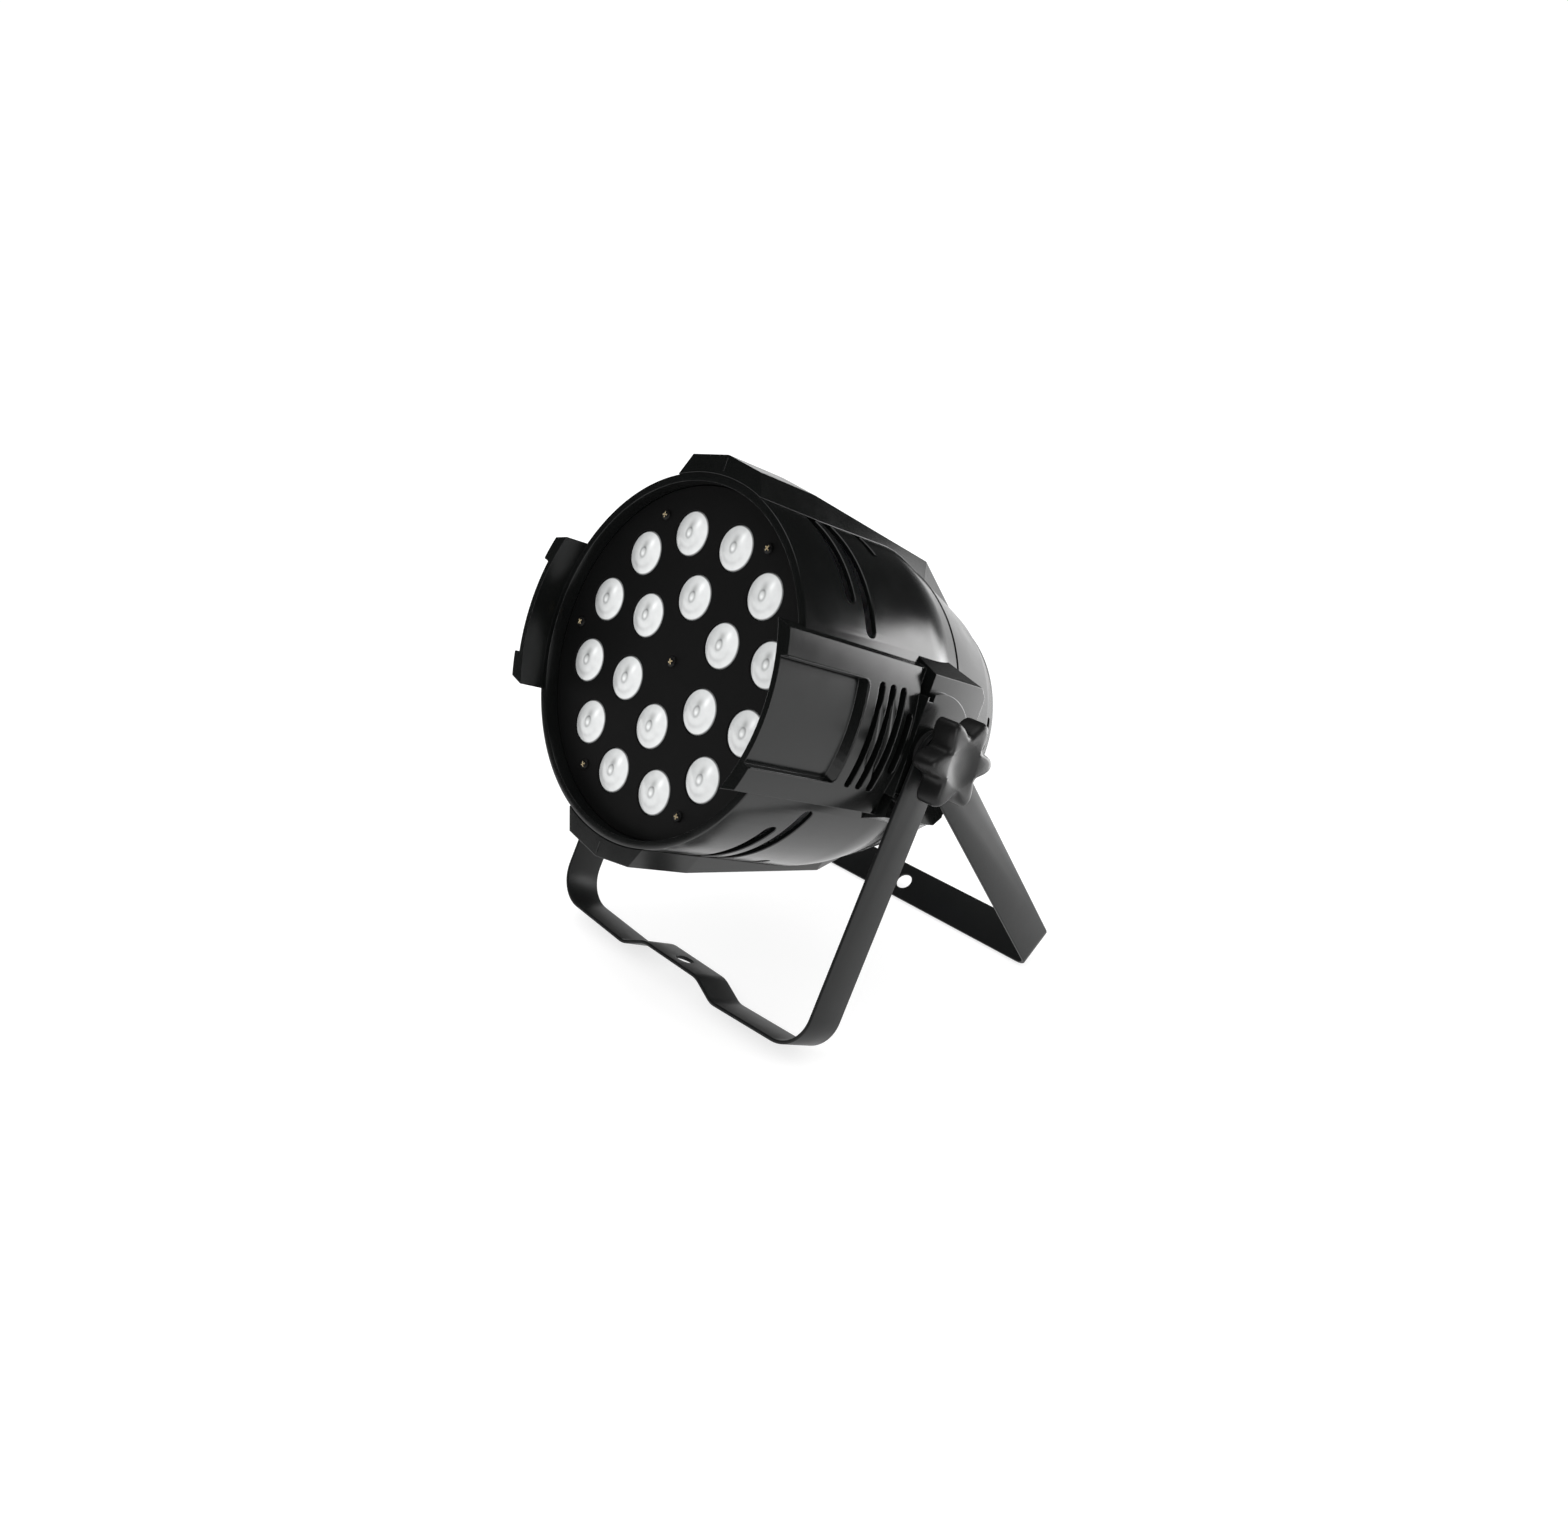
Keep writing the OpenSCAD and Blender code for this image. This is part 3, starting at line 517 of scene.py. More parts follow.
# The screws' cross recesses as a light flat colour: part worn metal, part painted glint.
recess_metal_and_glint = coating("recess_metal_and_glint", (0.62, 0.54, 0.38), 0.35, 900, 0.02)
turned_brass = bare_metal("turned_brass", (0.70, 0.52, 0.24), 0.32, (10, 1, 1))
lens_white = lens_plastic()
display_red = tinted_window()

# ---------- housings ----------


def bend_profile(inward=0.0):
    """Outline of the bend between the straight wall and the taper, going back."""
    points = arc((CAN_RADIUS - BLEND_RADIUS, BLEND_Z), BLEND_RADIUS, 0, -math.degrees(TAPER), 12)
    return [(radius - inward, z) for radius, z in points]


def taper_radius(z):
    """Outer radius of the tapered part."""
    end_radius, end_z = bend_profile()[-1]
    return end_radius - (end_z - z) * math.tan(TAPER)


def ledge(radius, top_z):
    """A ledge that stands inward from the straight wall."""
    wall = CAN_RADIUS - WALL
    thickness = 3.0
    return [(wall, top_z - thickness), (radius, top_z - thickness), (radius, top_z), (wall, top_z)]


def slot_into(bm, start, end, z, width, outer=CAN_RADIUS):
    """A cutter for a slot around a wall of some outer radius, between two angles in degrees. It
    has round ends, and opens out a little at the outer face."""
    flare = 0.5
    half = width / 2
    first = math.radians(start) * outer + half
    last = math.radians(end) * outer - half
    quarter = [math.radians(18 * i) for i in range(6)]
    straight = max(2, int((last - first) / 6))

    def ring(radius, grow):
        """The outline of the slot at a radius, as an upper and a lower side."""
        size = half + grow
        columns = [(first - size * math.cos(a), size * math.sin(a)) for a in quarter]
        columns += [(first + (last - first) * i / straight, size) for i in range(1, straight)]
        columns += [(last + size * math.cos(a), size * math.sin(a)) for a in reversed(quarter)]
        sides = []
        for sign in (1, -1):
            sides.append([(radius * math.cos(s / outer), radius * math.sin(s / outer),
                           z + sign * h) for s, h in columns])
        upper = [bm.verts.new(p) for p in sides[0]]
        lower = [upper[0]] + [bm.verts.new(p) for p in sides[1][1:-1]] + [upper[-1]]
        return upper, lower

    rings = [ring(outer - 9, 0), ring(outer - flare, 0), ring(outer + 0.6, flare + 0.6)]
    for a, b in zip(rings, rings[1:]):
        for side in (0, 1):
            for i in range(len(a[side]) - 1):
                bm.faces.new((a[side][i], a[side][i + 1], b[side][i + 1], b[side][i]))
    for upper, lower in (rings[0], rings[-1]):
        for i in range(len(upper) - 1):
            corners = [upper[i], upper[i + 1], lower[i + 1], lower[i]]
            bm.faces.new([v for k, v in enumerate(corners) if v is not corners[k - 1]])


def cylinder_into(bm, radius, low, high, flare=0.0, steps=48, matrix=None):
    """A round cutter along z that opens out by the flare where it meets the two heights."""
    profile = [(0, low - 1), (radius + 2 * flare, low - 1), (radius + flare, low - flare * 0.2),
               (radius, low + flare), (radius, high - flare), (radius + flare, high + flare * 0.2),
               (radius + 2 * flare, high + 1), (0, high + 1)]
    if not flare:
        profile = [(0, low), (radius, low), (radius, high), (0, high)]
    lathe_into(bm, profile, steps, closed=False, matrix=matrix)


def housing_front():
    """The front shell: rim, straight wall, bend, ledges inside, slots and pivot bores."""
    seam = taper_radius(SEAM_Z)
    profile = arc((RIM_BORE + 0.3, RIM_Z - 0.3), 0.3, 180, 90, 3)
    profile += arc((CAN_RADIUS - 0.8, RIM_Z - 0.8), 0.8, 90, 0, 5)
    profile += bend_profile()
    profile += [(seam + 0.15, SEAM_Z + 0.5), (seam - 0.4, SEAM_Z), (seam - WALL, SEAM_Z)]
    profile += reversed(bend_profile(WALL))
    for radius, top_z in LEDGES:
        profile += ledge(radius, top_z)
    profile += [(CAN_RADIUS - WALL, PLATE_BACK_Z - 3.5), (PLATE_SEAT_RADIUS, PLATE_BACK_Z - 3.5),
                (PLATE_SEAT_RADIUS, PLATE_BACK_Z), (RIM_BORE, PLATE_BACK_Z)]
    bm = bmesh.new()
    lathe_into(bm, profile, ROUND_STEPS)
    shell = mesh_from(bm, "housing_front_shell", HEAD)

    cuts = bmesh.new()
    for start, end, z, width in CAN_SLOTS:
        for low, high in ((start, end), (180 - end, 180 - start), (180 + start, 180 + end),
                          (360 - end, 360 - start)):
            slot_into(cuts, low, high, z, width)
    for side in (0, math.pi):
        turn = Matrix.Rotation(side, 4, "Z") @ ALONG_X
        cylinder_into(cuts, INSERT_BORE, CAN_RADIUS - 6, CAN_RADIUS + 4, matrix=turn)
    shell = carve(shell, mesh_from(cuts, "housing_front_cuts", HEAD))
    shade(shell)
    new_piece("housing_front_shell", shell, housing_black, "head", ["front_housing"])


def housing_rear():
    """The rear shell: a lap inside the front shell, the taper, and the tail with its vents."""
    seam = taper_radius(SEAM_Z)
    cone_end = taper_radius(CONE_END_Z)
    profile = [(seam - 0.7, SEAM_Z - 1.2), (seam + 0.1, SEAM_Z - 1.7)]
    profile += [(cone_end + 0.3, CONE_END_Z + 1.2), (cone_end - 0.8, CONE_END_Z - 1.2)]
    profile += arc((TAIL_RADIUS - 1.4, TAIL_Z + 1.5), 1.5, 20, -90, 6)
    profile += arc((PANEL_OPENING + 0.8, TAIL_Z + 0.8), 0.8, 270, 180, 4)
    profile += [(PANEL_OPENING, TAIL_Z + 3), (TAIL_RADIUS - WALL, TAIL_Z + 3)]
    profile += [(cone_end - WALL, CONE_END_Z), (seam - 6.1, SEAM_Z - 5), (seam - 6.1, SEAM_Z + 6),
                (seam - 3.4, SEAM_Z + 6), (seam - 3.4, SEAM_Z), (seam - 0.7, SEAM_Z)]
    bm = bmesh.new()
    lathe_into(bm, profile, ROUND_STEPS)
    shell = mesh_from(bm, "housing_rear_shell", HEAD)

    cuts = bmesh.new()
    long, wide = TAIL_VENT_SIZE
    for side in (0, 180):
        for degrees in TAIL_VENT_ANGLES:
            turn = Matrix.Rotation(math.radians(side + degrees), 4, "Z") @ ALONG_X
            rings = []
            for out, grow in ((TAIL_RADIUS - 15, 0), (TAIL_RADIUS + 1, 0), (TAIL_RADIUS + 9, 2)):
                loop = rounded_box(-TAIL_VENT_Z, 0, long + grow, wide + grow, 2.2)
                rings.append([turn @ Vector((x, y, out)) for x, y in loop])
            skin_rings(cuts, rings)
    for spot in TIE_SCREW_SPOTS:
        place = Matrix.Translation((*polar(*spot), 0))
        cylinder_into(cuts, 2.2, TAIL_Z - 2, TAIL_Z + 5, steps=24, matrix=place)
    shell = carve(shell, mesh_from(cuts, "housing_rear_cuts", HEAD))
    shade(shell)
    new_piece("housing_rear_shell", shell, housing_black, "head", ["rear_housing"])


# ---------- covers and ribs ----------


def as_drawn(node, carve_with=None):
    """A CAD node's own shape with crisp edges, after one more cut if there is a cutter."""
    mesh = cad_mesh(node)
    if carve_with is not None:
        mesh = carve(mesh, carve_with)
    mesh.materials.clear()
    shade(mesh, 20)
    return mesh


def true_normals(mesh):
    """Exact shading: faces that follow a cylinder about the head's axis shade as round, and all
    other faces as flat."""
    into_head = HEAD.inverted()
    turn = HEAD.to_3x3().normalized()
    normals = []
    for face in mesh.polygons:
        flat = turn.inverted() @ face.normal
        corners = [into_head @ mesh.vertices[i].co for i in face.vertices]
        radii = [corner.xy.length for corner in corners]
        for corner in corners:
            out = Vector((corner.x, corner.y, 0)).normalized()
            facing = out.dot(flat)
            follows = max(radii) - min(radii) < 0.2 and abs(facing) > 0.99
            normals.append(turn @ (out if facing > 0 else -out) if follows else face.normal.copy())
    mesh.normals_split_custom_set(normals)


def sided(side):
    """The head's frame, mirrored for the left side."""
    return HEAD @ (Matrix.Identity(4) if side == "right" else FLIP_X)


def lip_into(bm, matrix):
    """A round lip around the recess of a side cover, along its top, its end and its bottom."""
    radius = 0.75
    corner = 4.0
    half = math.radians(RECESS_ANGLE) * COVER_RADIUS
    path = [(half, COVER_FRONT_Z - 0.6 - 6.0 * i) for i in range(12)]
    path += arc((half - corner, RECESS_END_Z + corner), corner, 0, -90, 6)
    path += [(half * (0.8 - 0.2 * i), RECESS_END_Z) for i in range(5)]
    path += [(-s, z) for s, z in reversed(path)]
    rings = []
    for i, (s, z) in enumerate(path):
        before = path[max(0, i - 1)]
        after = path[min(len(path) - 1, i + 1)]
        along = Vector((after[0] - before[0], after[1] - before[1])).normalized()
        ring = []
        for dx, dn in arc((0, 0), radius, 0, 315, 7):
            angle = (s + along.y * dx) / COVER_RADIUS
            out = COVER_RADIUS - 0.2 + dn
            spot = (out * math.cos(angle), out * math.sin(angle), z - along.x * dx)
            ring.append(matrix @ Vector(spot))
        rings.append(ring)
    skin_rings(bm, rings)


def rib(end):
    """A rib cover, with a fine raised line up the middle of its front."""
    shell = as_drawn(end + "_rib")
    true_normals(shell)
    new_piece(end + "_rib_shell", shell, cover_black, "head", [end + "_rib"])
    up = 1 if end == "top" else -1
    section = ((-0.6, -0.2), (0.6, -0.2), (0.25, 0.35), (-0.25, 0.35))
    bm = bmesh.new()
    skin_rings(bm, [[(x, up * y, RIM_Z + proud) for x, proud in section] for y in RIB_LINE_ENDS])
    line = mesh_from(bm, end + "_rib_line", HEAD)
    shade(line)
    new_piece(end + "_rib_line", line, cover_black, "head")


def side_cover(side):
    """A side cover with round-ended vent slots, and a lip around its recess."""
    matrix = sided(side)
    cuts = bmesh.new()
    for i, half in enumerate(COVER_SLOT_ANGLES):
        z = COVER_SLOT_Z - COVER_SLOT_PITCH * i
        slot_into(cuts, -half, half, z, COVER_SLOT_WIDTH, outer=COVER_RADIUS)
    shell = as_drawn(side + "_cover", mesh_from(cuts, side + "_cover_cuts", matrix))
    true_normals(shell)
    new_piece(side + "_cover_shell", shell, cover_black, "head", [side + "_cover"])
    bm = bmesh.new()
    lip_into(bm, matrix)
    lip = mesh_from(bm, side + "_cover_lip")
    shade(lip, 60)
    new_piece(side + "_cover_lip", lip, cover_black, "head")


# ---------- face ----------


def face_sheet():
    """The round LED plate with its lens and screw holes."""
    bm = bmesh.new()
    holes = [circle(*polar(*spot), LENS_RADIUS + 0.2, 72) for spot in LENS_SPOTS]
    holes += [circle(*polar(*spot), 1.8, 20) for spot in PLATE_SCREW_SPOTS]
    sheet_into(bm, circle(0, 0, RIM_BORE - 0.3, ROUND_STEPS), holes, PLATE_Z, PLATE_BACK_Z, 0.35)
    mesh = mesh_from(bm, "face_sheet", HEAD)
    shade(mesh)
    new_piece("face_sheet", mesh, face_black, "head", ["led_plate"])


def lens_profile():
    """A pressed lens: a shallow dome, a ring groove near the middle and a small inner dome."""
    dome = (LENS_RADIUS ** 2 + LENS_RISE ** 2) / (2 * LENS_RISE)

    def dome_z(radius):
        return LENS_EDGE_Z + LENS_RISE - dome + math.sqrt(dome ** 2 - radius ** 2)

    middle = ((0, 0.2), (0.6, 0.21), (1.2, 0.23), (1.8, 0.28), (2.4, 0.36), (3.0, 0.48), (3.5, 0.5),
              (4.0, 0.40))
    profile = [(radius, dome_z(0) - drop) for radius, drop in middle]
    profile += [(0.5 * i, dome_z(0.5 * i)) for i in range(9, 28)]
    profile += [(14.1, LENS_EDGE_Z + 0.28), (14.45, LENS_EDGE_Z), (LENS_RADIUS, LENS_EDGE_Z - 0.5)]
    profile += [(LENS_RADIUS, PLATE_BACK_Z - 0.5), (6, 91), (3.6, 91), (3.6, 95), (0, 96.5)]
    return profile


def lens_tone_and_painted_light(x, y, z):
    """How white a lens is painted at a spot: its frosted white with painted light on it. It is brighter to the
    right, as painted light, with a grey ring around the middle. A grey patch above the middle and a grey crescent
    low down are painted reflections, a bright patch up to the right and a bright glint in the middle are painted
    highlights, and the darker edge and back are painted shade."""
    radius = math.hypot(x, y)

    def spot(across, up, width, height):
        """A soft round patch."""
        return math.exp(-((x - across) / width) ** 2 - ((y - up) / height) ** 2)

    # Brighter to the right: painted light.
    painted_light_and_tone = 0.70 + 0.14 * x / LENS_RADIUS
    painted_light_and_tone -= 0.20 * math.exp(-((math.hypot(x / 0.85, y / 1.1) - 2.9) / 0.9) ** 2)
    # A grey patch above the middle: a painted reflection.
    painted_light_and_tone -= 0.20 * spot(0.4, 5.0, 2.4, 3.2)
    # A bright patch up to the right: a painted highlight.
    painted_light_and_tone += 0.22 * spot(5.2, 7.4, 1.6, 3.0)
    # A grey crescent low down: a painted reflection.
    painted_light_and_tone -= 0.12 * math.exp(-((radius - 9.6) / 1.5) ** 2) * max(0.0, -y / (radius + 0.1))
    # A bright glint in the middle: a painted highlight.
    painted_light_and_tone += 0.20 * spot(0.2, -1.0, 1.3, 1.3)
    # Darker at the very edge and behind the plate: painted shade.
    if radius > 13.9 or z < PLATE_Z - 1.5:
        painted_light_and_tone -= 0.5
    return max(0.05, painted_light_and_tone)


def lens_set():
    """All lenses as one piece, with the frosted white and painted light on each vertex that its material reads."""
    bm = bmesh.new()
    layer = bm.verts.layers.float.new("painted_light_and_tone")
    profile = lens_profile()
    for spot in LENS_SPOTS:
        x, y = polar(*spot)
        for vert in lathe_into(bm, profile, 56, closed=False):
            vert[layer] = lens_tone_and_painted_light(*vert.co)
            vert.co += Vector((x, y, 0))
    mesh = mesh_from(bm, "lens_set", HEAD)
    shade(mesh, 50)
    new_piece("lens_set", mesh, lens_white, "head", ["lenses"])


# ---------- screws ----------


def screw_mesh(radius, height, shank_radius, shank_length):
    """A pan-head screw standing on z = 0 with a cross recess, in millimetres. The faces of the recess use the
    second material, whose light colour is partly worn metal and partly a painted glint."""
    bm = bmesh.new()
    dome = ((0, 1), (0.35, 0.985), (0.62, 0.9), (0.84, 0.7), (0.97, 0.42), (1, 0.2), (0.985, 0))
    profile = [(radius * out, height * up) for out, up in dome]
    profile += [(shank_radius, 0), (shank_radius, -shank_length), (0, -shank_length)]
    lathe_into(bm, profile, 40, closed=False)
    head = mesh_from(bm, "screw_head")

    arm = radius * 0.58
    half = radius * 0.14
    bottom = height * 0.3
    cross = []
    for turn in range(4):
        spin = Matrix.Rotation(turn * math.pi / 2, 2)
        cross += [spin @ Vector(p) for p in ((half, -half), (arm, -half), (arm, half))]
    levels = ((bottom, 0.7), (height * 1.1, 1.0))
    cuts = bmesh.new()
    skin_rings(cuts, [[(*(p * scale), z) for p in cross] for z, scale in levels])
    head = carve(head, mesh_from(cuts, "screw_recess"))
    for face in head.polygons:
        middle = face.center
        near = math.hypot(middle.x, middle.y) < arm * 1.05
        inside = near and bottom - 0.01 < middle.z < height * 0.93
        deep = middle.z < bottom + 0.02 or abs(face.normal.z) < 0.5
        face.material_index = 1 if inside and deep else 0
    return head


def screw_set(name, places, size, node):
    """One screw repeated at each place, as a single piece. Its size is the head's radius and
    height, then the shank's radius and length."""
    head = screw_mesh(*size)
    bm = bmesh.new()
    for place in places:
        before = len(bm.verts)
        bm.from_mesh(head)
        bm.verts.ensure_lookup_table()
        bmesh.ops.transform(bm, matrix=place, verts=bm.verts[before:])
    bpy.data.meshes.remove(head)
    mesh = bpy.data.meshes.new(name)
    bmesh.ops.transform(bm, matrix=HEAD, verts=bm.verts)
    bm.to_mesh(mesh)
    bm.free()
    shade(mesh, 35)
    new_piece(name, mesh, [screw_black, recess_metal_and_glint], "head", [node])


def spun(x, y, z, behind=True):
    """Where a screw stands: its spot, which way it faces, and a random turn about its own axis."""
    place = Matrix.Translation((x, y, z))
    if behind:
        place = place @ Matrix.Rotation(math.pi, 4, "Y")
    return place @ Matrix.Rotation(math.radians(random.uniform(0, 90)), 4, "Z")


def all_screws():
    """The four sets of screws. Each screw is turned at random."""
    screw_set("plate_screw_set", [spun(*polar(*spot), PLATE_Z, False) for spot in PLATE_SCREW_SPOTS],
              PLATE_SCREW, "plate_screws")
    screw_set("panel_screw_set", [spun(*polar(*spot), PANEL_BACK_Z) for spot in PANEL_SCREW_SPOTS],
              PANEL_SCREW, "panel_screws")
    screw_set("tie_screw_set", [spun(*polar(*spot), TAIL_Z) for spot in TIE_SCREW_SPOTS],
              TIE_SCREW, "tie_screws")
    places = [spun(x, y, PANEL_BACK_Z - 2) for column in SOCKET_COLUMNS for row, _ in SOCKET_ROWS
              for x, y in socket_screws(column, row)]
    screw_set("connector_screw_set", places, CONNECTOR_SCREW, "connector_screws")


# ---------- brackets ----------


def rounded_corner(before, corner, after):
    """A corner of a path as a short smooth bend."""
    cut = 4.0
    steps = 6
    before, corner, after = (Vector(p) for p in (before, corner, after))
    start = corner + (before - corner).normalized() * cut
    end = corner + (after - corner).normalized() * cut
    points = []
    for i in range(steps + 1):
        t = i / steps
        points.append(tuple((1 - t) ** 2 * start + 2 * t * (1 - t) * corner + t ** 2 * end))
    return points


def strap_mesh(name, matrix, half_width, bend_radius, bend_z, bend_angle, crossbar):
    """A U of bent strap: the path of its outer face, swept with a flat section with round edges.
    It narrows to round ends at the top, and has the pivot bores and the clamp hole."""
    half = STRAP_WIDTH / 2
    top = []
    for i in range(13):
        a = math.radians(88 - 88 * i / 12)
        top.append(((half_width, half * math.sin(a)), half * math.cos(a)))
    bend = arc((half_width - bend_radius, bend_z), bend_radius, 0, -bend_angle, 16)
    right = bend + crossbar
    path = top + [(p, half) for p in right]
    path += [((-x, z), width) for (x, z), width in reversed(path)]

    bm = bmesh.new()
    rings = []
    for i, ((x, z), width) in enumerate(path):
        (ax, az), _ = path[max(0, i - 1)]
        (bx, bz), _ = path[min(len(path) - 1, i + 1)]
        along = Vector((bx - ax, 0, bz - az)).normalized()
        outward = Vector((-along.z, 0, along.x))
        edge = min(0.75, width * 0.8)
        loop = rounded_box(-STRAP_THICKNESS / 2, 0, STRAP_THICKNESS, 2 * width, edge, 3)
        rings.append([Vector((x, 0, z)) + outward * n + Vector((0, y, 0)) for n, y in loop])
    skin_rings(bm, rings)
    strap = mesh_from(bm, name, matrix)

    cuts = bmesh.new()
    cylinder_into(cuts, PIVOT_BORE, -half_width - 5, half_width + 5, matrix=ALONG_X)
    low = crossbar[-1][1]
    cylinder_into(cuts, CLAMP_BORE, low, low + STRAP_THICKNESS, flare=0.5)
    strap = carve(strap, mesh_from(cuts, name + "_cuts", matrix))
    shade(strap, 35)
    return strap


def front_strap():
    """The front bracket: its crossbar slopes gently to two feet and steps up in the middle."""
    bend_z = 29 - FRONT_DROP
    bend_angle = 87
    bend_end = arc((FRONT_X - FRONT_BEND, bend_z), FRONT_BEND, 0, -bend_angle, 4)[-1]
    raised = FRONT_STEP - FRONT_DROP
    foot = (49.0, -FRONT_DROP)
    step = (28.5, raised)
    crossbar = rounded_corner(bend_end, foot, step) + rounded_corner(foot, step, (0, raised))
    crossbar += [(9.0, raised), (0.5, raised)]
    matrix = strap_matrix("front_clamp_hole")
    mesh = strap_mesh("front_strap", matrix, FRONT_X, FRONT_BEND, bend_z, bend_angle, crossbar)
    new_piece("front_strap", mesh, strap_black, "front_stand", ["front_bracket"])


def rear_strap():
    """The rear bracket, with a straight crossbar."""
    matrix = strap_matrix("rear_clamp_hole")
    hole = matrix.inverted() @ Vector(MOUNTS["rear_clamp_hole"]["pos_m"])
    low = hole.z - STRAP_THICKNESS / 2
    crossbar = [(60.0, low), (9.0, low), (0.5, low)]
    mesh = strap_mesh("rear_strap", matrix, REAR_X, REAR_BEND, low + REAR_BEND, 90, crossbar)
    new_piece("rear_strap", mesh, strap_black, "rear_stand", ["rear_bracket"])


# ---------- knobs ----------


def knob(side):
    """A star knob: a collar and a lobed grip with round edges and a dished face."""
    steps = 180

    def star(inset, scale=1.0):
        """The lobed outline, pulled in a little and with its lobes scaled."""
        points = []
        for i in range(steps):
            a = 2 * math.pi * i / steps
            lobe = (0.5 + 0.5 * math.cos(KNOB_LOBES * (a - KNOB_TURN))) ** 1.2
            radius = (KNOB_VALLEY_RADIUS + KNOB_LOBE_HEIGHT * lobe * scale) - inset
            points.append((radius * math.cos(a), radius * math.sin(a)))
        return points

    def ring(radius):
        return circle(0, 0, radius, steps)

    levels = [(ring(PIVOT_BORE), 0.0), (ring(10.6), 0.0), (ring(11), 0.4), (ring(11), 3.2)]
    levels += [(star(4.5, 0.9), 3.2), (star(1.6), 3.2), (star(0.7), 3.5), (star(0.15), 4.2)]
    levels += [(star(0), 5.2), (star(0.1), 15.5), (star(0.5), 17.2), (star(1.3), 18.6)]
    levels += [(star(2.6), 19.6), (star(4.2, 0.9), 20.0), (star(5.0, 0.5), 20.0), (ring(15.0), 19.9)]
    levels += [(ring(13.5), 19.6), (ring(10.5), 18.7), (ring(7.0), 18.1), (ring(3.0), 17.9)]
    bm = bmesh.new()
    made = skin_rings(bm, [[(x, y, z) for x, y in points] for points, z in levels], caps=False)
    bore = [bm.verts.new((*v.co.xy, 11.0)) for v in made[0]]
    for i in range(steps):
        j = (i + 1) % steps
        bm.faces.new((made[0][i], made[0][j], bore[j], bore[i]))
    bm.faces.new(bore)
    bm.faces.new(made[-1])
    name = side + "_star_knob"
    mesh = mesh_from(bm, name, sided(side) @ Matrix.Translation((KNOB_X, 0, 0)) @ ALONG_X)
    shade(mesh, 40)
    new_piece(name, mesh, knob_black, side + "_grip", [side + "_knob"])


# ---------- rear panel ----------


def socket_screws(x, y):
    """Where the two screws of a socket lie, at opposite corners of its flange."""
    across, up = SOCKET_SCREW_OFFSET
    return [(x + d * across, y + d * up) for d in (-1, 1)]


def panel_sheet():
    """The rear panel, with holes for the display, keys, sockets, fuse, safety loop and screws."""
    holes = [rounded_box(*DISPLAY_HOLE, 3)]
    holes += [circle(x, y, 4.05, 32) for x, y in KEY_SPOTS]
    for column in SOCKET_COLUMNS:
        holes += [circle(column, row, radius) for row, radius in SOCKET_ROWS]
        for row, _ in SOCKET_ROWS:
            holes += [circle(x, y, 1.4, 16) for x, y in socket_screws(column, row)]
    holes += [circle(*FUSE_HOLE)] + [circle(*hole, 20) for hole in LOOP_HOLES]
    holes += [circle(*polar(*spot), 1.7, 16) for spot in PANEL_SCREW_SPOTS]
    face = -PANEL_BACK_Z
    bm = bmesh.new()
    sheet_into(bm, circle(0, 0, PANEL_OPENING - 0.1, 128), holes, face, face - 2.5, 0.35)
    mesh = mesh_from(bm, "panel_sheet", HEAD @ Matrix.Rotation(math.pi, 4, "Y"))
    shade(mesh)
    new_piece("panel_sheet", mesh, panel_black, "head", ["rear_panel"])


def key_cap(spot, body, node):
    """A round push button with a soft edge, a shallow dish and a flange behind the panel."""
    cap = ((0, 2.2), (1.6, 2.25), (2.8, 2.45), (3.4, 2.6), (3.8, 2.45), (4.0, 2.0))
    flange = ((4.0, -2.6), (5.2, -2.6), (5.2, -3.7), (4.0, -3.7), (4.0, -4.9), (0, -4.9))
    bm = bmesh.new()
    lathe_into(bm, [(radius, proud - PANEL_BACK_Z) for radius, proud in cap + flange], 48, closed=False)
    place = Matrix.Translation((*spot, 0)) @ Matrix.Rotation(math.pi, 4, "Y")
    mesh = mesh_from(bm, body + "_cap", HEAD @ place)
    shade(mesh)
    new_piece(body + "_cap", mesh, button_grey, body, [node])


# ---------- build ----------

housing_front()
housing_rear()
face_sheet()
lens_set()
front_strap()
rear_strap()
for side in ("right", "left"):
    knob(side)
    side_cover(side)
    polished(side + "_washer", zinc_steel, side + "_clamp", 0.3, side + "_flat_washer")
for end in ("top", "bottom"):
    rib(end)

panel_sheet()
for spot, key in zip(KEY_SPOTS, ("menu", "down", "up", "enter")):
    key_cap(spot, key + "_key", key + "_button")
all_screws()

# CAD nodes whose edges are rounded: material, width of the rounding and slot.
ROUNDED = {
    "display_window": (display_red, 0.4, "display"),
    "signal_input": (connector_black, 0.35, "connector"),
    "signal_output": (connector_black, 0.35, "connector"),
    "power_inlet": (inlet_blue, 0.35, "inlet"),
    "power_outlet": (outlet_grey, 0.35, "outlet"),
    "fuse_holder": (holder_black, 0.4, "holder"),
    "fan_frame": (fan_black, 0.5, "fan"),
    "chassis_plate": (aluminium, 0.3, "bare_aluminium"),
}
for node, (material, width, slot) in ROUNDED.items():
    polished(node, material, "head", width)

# CAD nodes that stay as they are, under a material.
FINISHES = {
    "lens_holders": holder_black, "led_packages": led_yellow, "led_board": board_white,
    "standoffs": zinc_steel, "heatsink": aluminium, "fan_rotor": fan_black,
    "power_supply": board_green, "driver_board": board_blue, "display_board": board_green,
    "signal_pins": turned_brass, "safety_loop": zinc_steel, "pivot_inserts": turned_brass,
    "friction_washers": friction_black, "right_stud": zinc_steel, "left_stud": zinc_steel,
}
for node, material in FINISHES.items():
    mesh = frame["nodes"][node].data
    mesh.materials.clear()
    mesh.materials.append(material)
    shade(mesh)

# ---------- floor, light and camera ----------


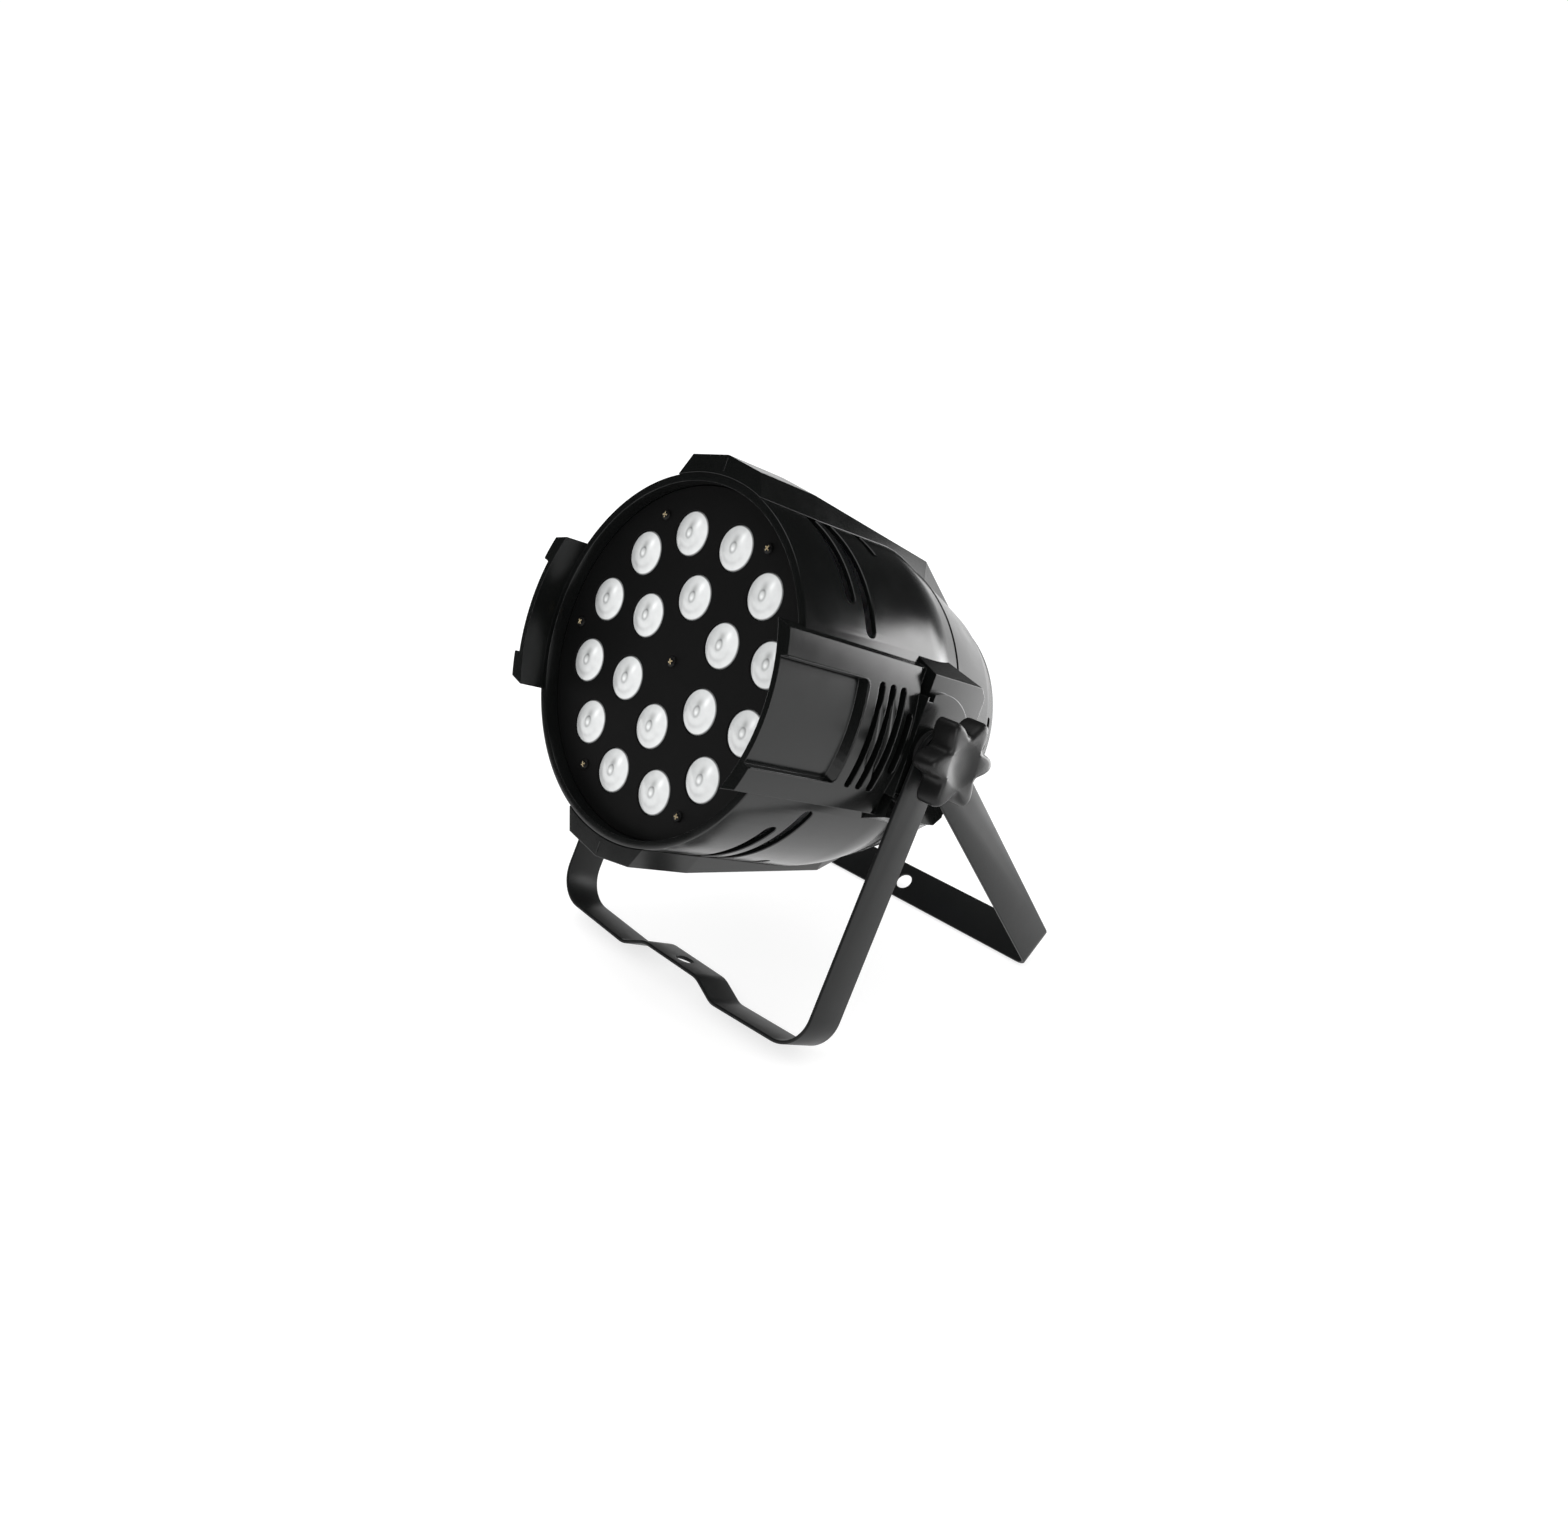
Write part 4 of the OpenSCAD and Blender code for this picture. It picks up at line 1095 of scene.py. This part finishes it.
def floor():
    """A pale floor that glows a little, so that it runs into the white background."""
    bm = bmesh.new()
    bmesh.ops.create_grid(bm, x_segments=1, y_segments=1, size=20)
    mesh = bpy.data.meshes.new("floor")
    bm.to_mesh(mesh)
    bm.free()
    paint = Paint("floor_white")
    tones = [(0.3, (0.36, 0.36, 0.36)), (0.7, (0.38, 0.38, 0.38))]
    paint.join(paint.tint(paint.noise(3, 2), tones), "Base Color")
    paint.set(Roughness=0.75, Specular_IOR_Level=0.2)
    paint.set(Emission_Color=(1, 1, 1, 1), Emission_Strength=0.72)
    mesh.materials.append(paint.material)
    plane = bpy.data.objects.new("floor", mesh)
    bpy.context.scene.collection.objects.link(plane)


def soft_light(name, place, target, size, power, only_in_reflections=False):
    """A rectangular light that faces its target."""
    lamp = bpy.data.lights.new(name, "AREA")
    lamp.shape = "RECTANGLE"
    lamp.size, lamp.size_y = size
    lamp.energy = power
    holder = bpy.data.objects.new(name, lamp)
    holder.location = place
    holder.rotation_euler = (Vector(place) - Vector(target)).to_track_quat("Z", "Y").to_euler()
    holder.visible_diffuse = not only_in_reflections
    holder.visible_camera = False
    bpy.context.scene.collection.objects.link(holder)


def surroundings():
    """Plain white to the camera and to diffuse light. Reflections see a studio: a white
    backdrop low down behind the light and to its right, and darkness above and in front."""
    low_down = ((0.0, 1.0), (0.08, 0.4), (0.18, 0.1), (0.30, 0.02), (0.42, 0.008))
    towards_backdrop = ((0.2, 0.02), (0.6, 0.06), (0.84, 0.2), (0.95, 1.0))
    backdrop_direction = (0.292, 0.956, 0)
    world = bpy.data.worlds.new("studio")
    world.use_nodes = True
    bpy.context.scene.world = world
    tree = world.node_tree
    link = tree.links.new

    def ramp(source, stops):
        node = tree.nodes.new("ShaderNodeValToRGB")
        for i, (position, level) in enumerate(stops):
            stop = node.color_ramp.elements[i] if i < 2 else node.color_ramp.elements.new(position)
            stop.position = position
            stop.color = (level, level, level, 1)
        link(source, node.inputs["Fac"])
        return node.outputs["Color"]

    def glow(strength, colour=None):
        node = tree.nodes.new("ShaderNodeBackground")
        node.inputs["Strength"].default_value = strength
        node.inputs["Color"].default_value = (1, 1, 1, 1)
        if colour:
            link(colour, node.inputs["Color"])
        return node.outputs["Background"]

    def mixed(factor, first, second):
        node = tree.nodes.new("ShaderNodeMixShader")
        link(factor, node.inputs["Fac"])
        link(first, node.inputs[1])
        link(second, node.inputs[2])
        return node.outputs["Shader"]

    place = tree.nodes.new("ShaderNodeTexCoord").outputs["Generated"]
    split = tree.nodes.new("ShaderNodeSeparateXYZ")
    link(place, split.inputs["Vector"])
    height = ramp(split.outputs["Z"], low_down)
    behind = tree.nodes.new("ShaderNodeVectorMath")
    behind.operation = "DOT_PRODUCT"
    behind.inputs[1].default_value = backdrop_direction
    link(place, behind.inputs[0])
    shifted = tree.nodes.new("ShaderNodeMapRange")
    shifted.inputs["From Min"].default_value = -1
    link(behind.outputs["Value"], shifted.inputs["Value"])
    side = ramp(shifted.outputs["Result"], towards_backdrop)
    both = tree.nodes.new("ShaderNodeMix")
    both.data_type = "RGBA"
    both.blend_type = "MULTIPLY"
    both.inputs["Factor"].default_value = 1.0
    link(height, both.inputs["A"])
    link(side, both.inputs["B"])
    rays = tree.nodes.new("ShaderNodeLightPath").outputs
    for_light = mixed(rays["Is Glossy Ray"], glow(1.3), glow(1.0, both.outputs["Result"]))
    seen = mixed(rays["Is Camera Ray"], for_light, glow(1.05))
    link(seen, tree.nodes["World Output"].inputs["Surface"])


def camera():
    """The photograph's viewpoint, to the right of the light, in front of it and above it."""
    place = (0.63315, -0.60887, 0.50700)
    right = Vector((0.67178, 0.73758, 0.06846)).normalized()
    back = Vector((0.66737, -0.64276, 0.37613)).normalized()
    turn = Matrix((right, back.cross(right), back)).transposed().to_4x4()
    lens = bpy.data.cameras.new("photo_view")
    lens.sensor_width = 36
    lens.lens = 31.31
    view = bpy.data.objects.new("photo_view", lens)
    view.matrix_world = Matrix.Translation(place) @ turn
    bpy.context.scene.collection.objects.link(view)
    bpy.context.scene.camera = view


floor()
surroundings()
camera()

# Each light: where it stands, what it faces, its size and its power.
soft_light("overhead", (-0.2, -0.1, 2.4), (0, 0, 0.1), (1.6, 1.6), 10)
soft_light("white_card_behind", (0.38, 1.08, 0.16), (0.38, 0, 0.16), (0.64, 0.32), 1.4, True)
soft_light("edge_light_right", (1.3, -0.25, 0.5), (0, 0, 0.25), (0.5, 0.9), 5.6, True)
soft_light("bright_card_right", (0.23, 0.36, 0.19), (0.11, 0.03, 0.19), (0.18, 0.38), 0.85, True)
soft_light("wide_card_right", (0.24, 0.37, 0.19), (0.11, 0.03, 0.19), (0.27, 0.38), 0.8, True)

bpy.context.scene.view_settings.view_transform = "Standard"
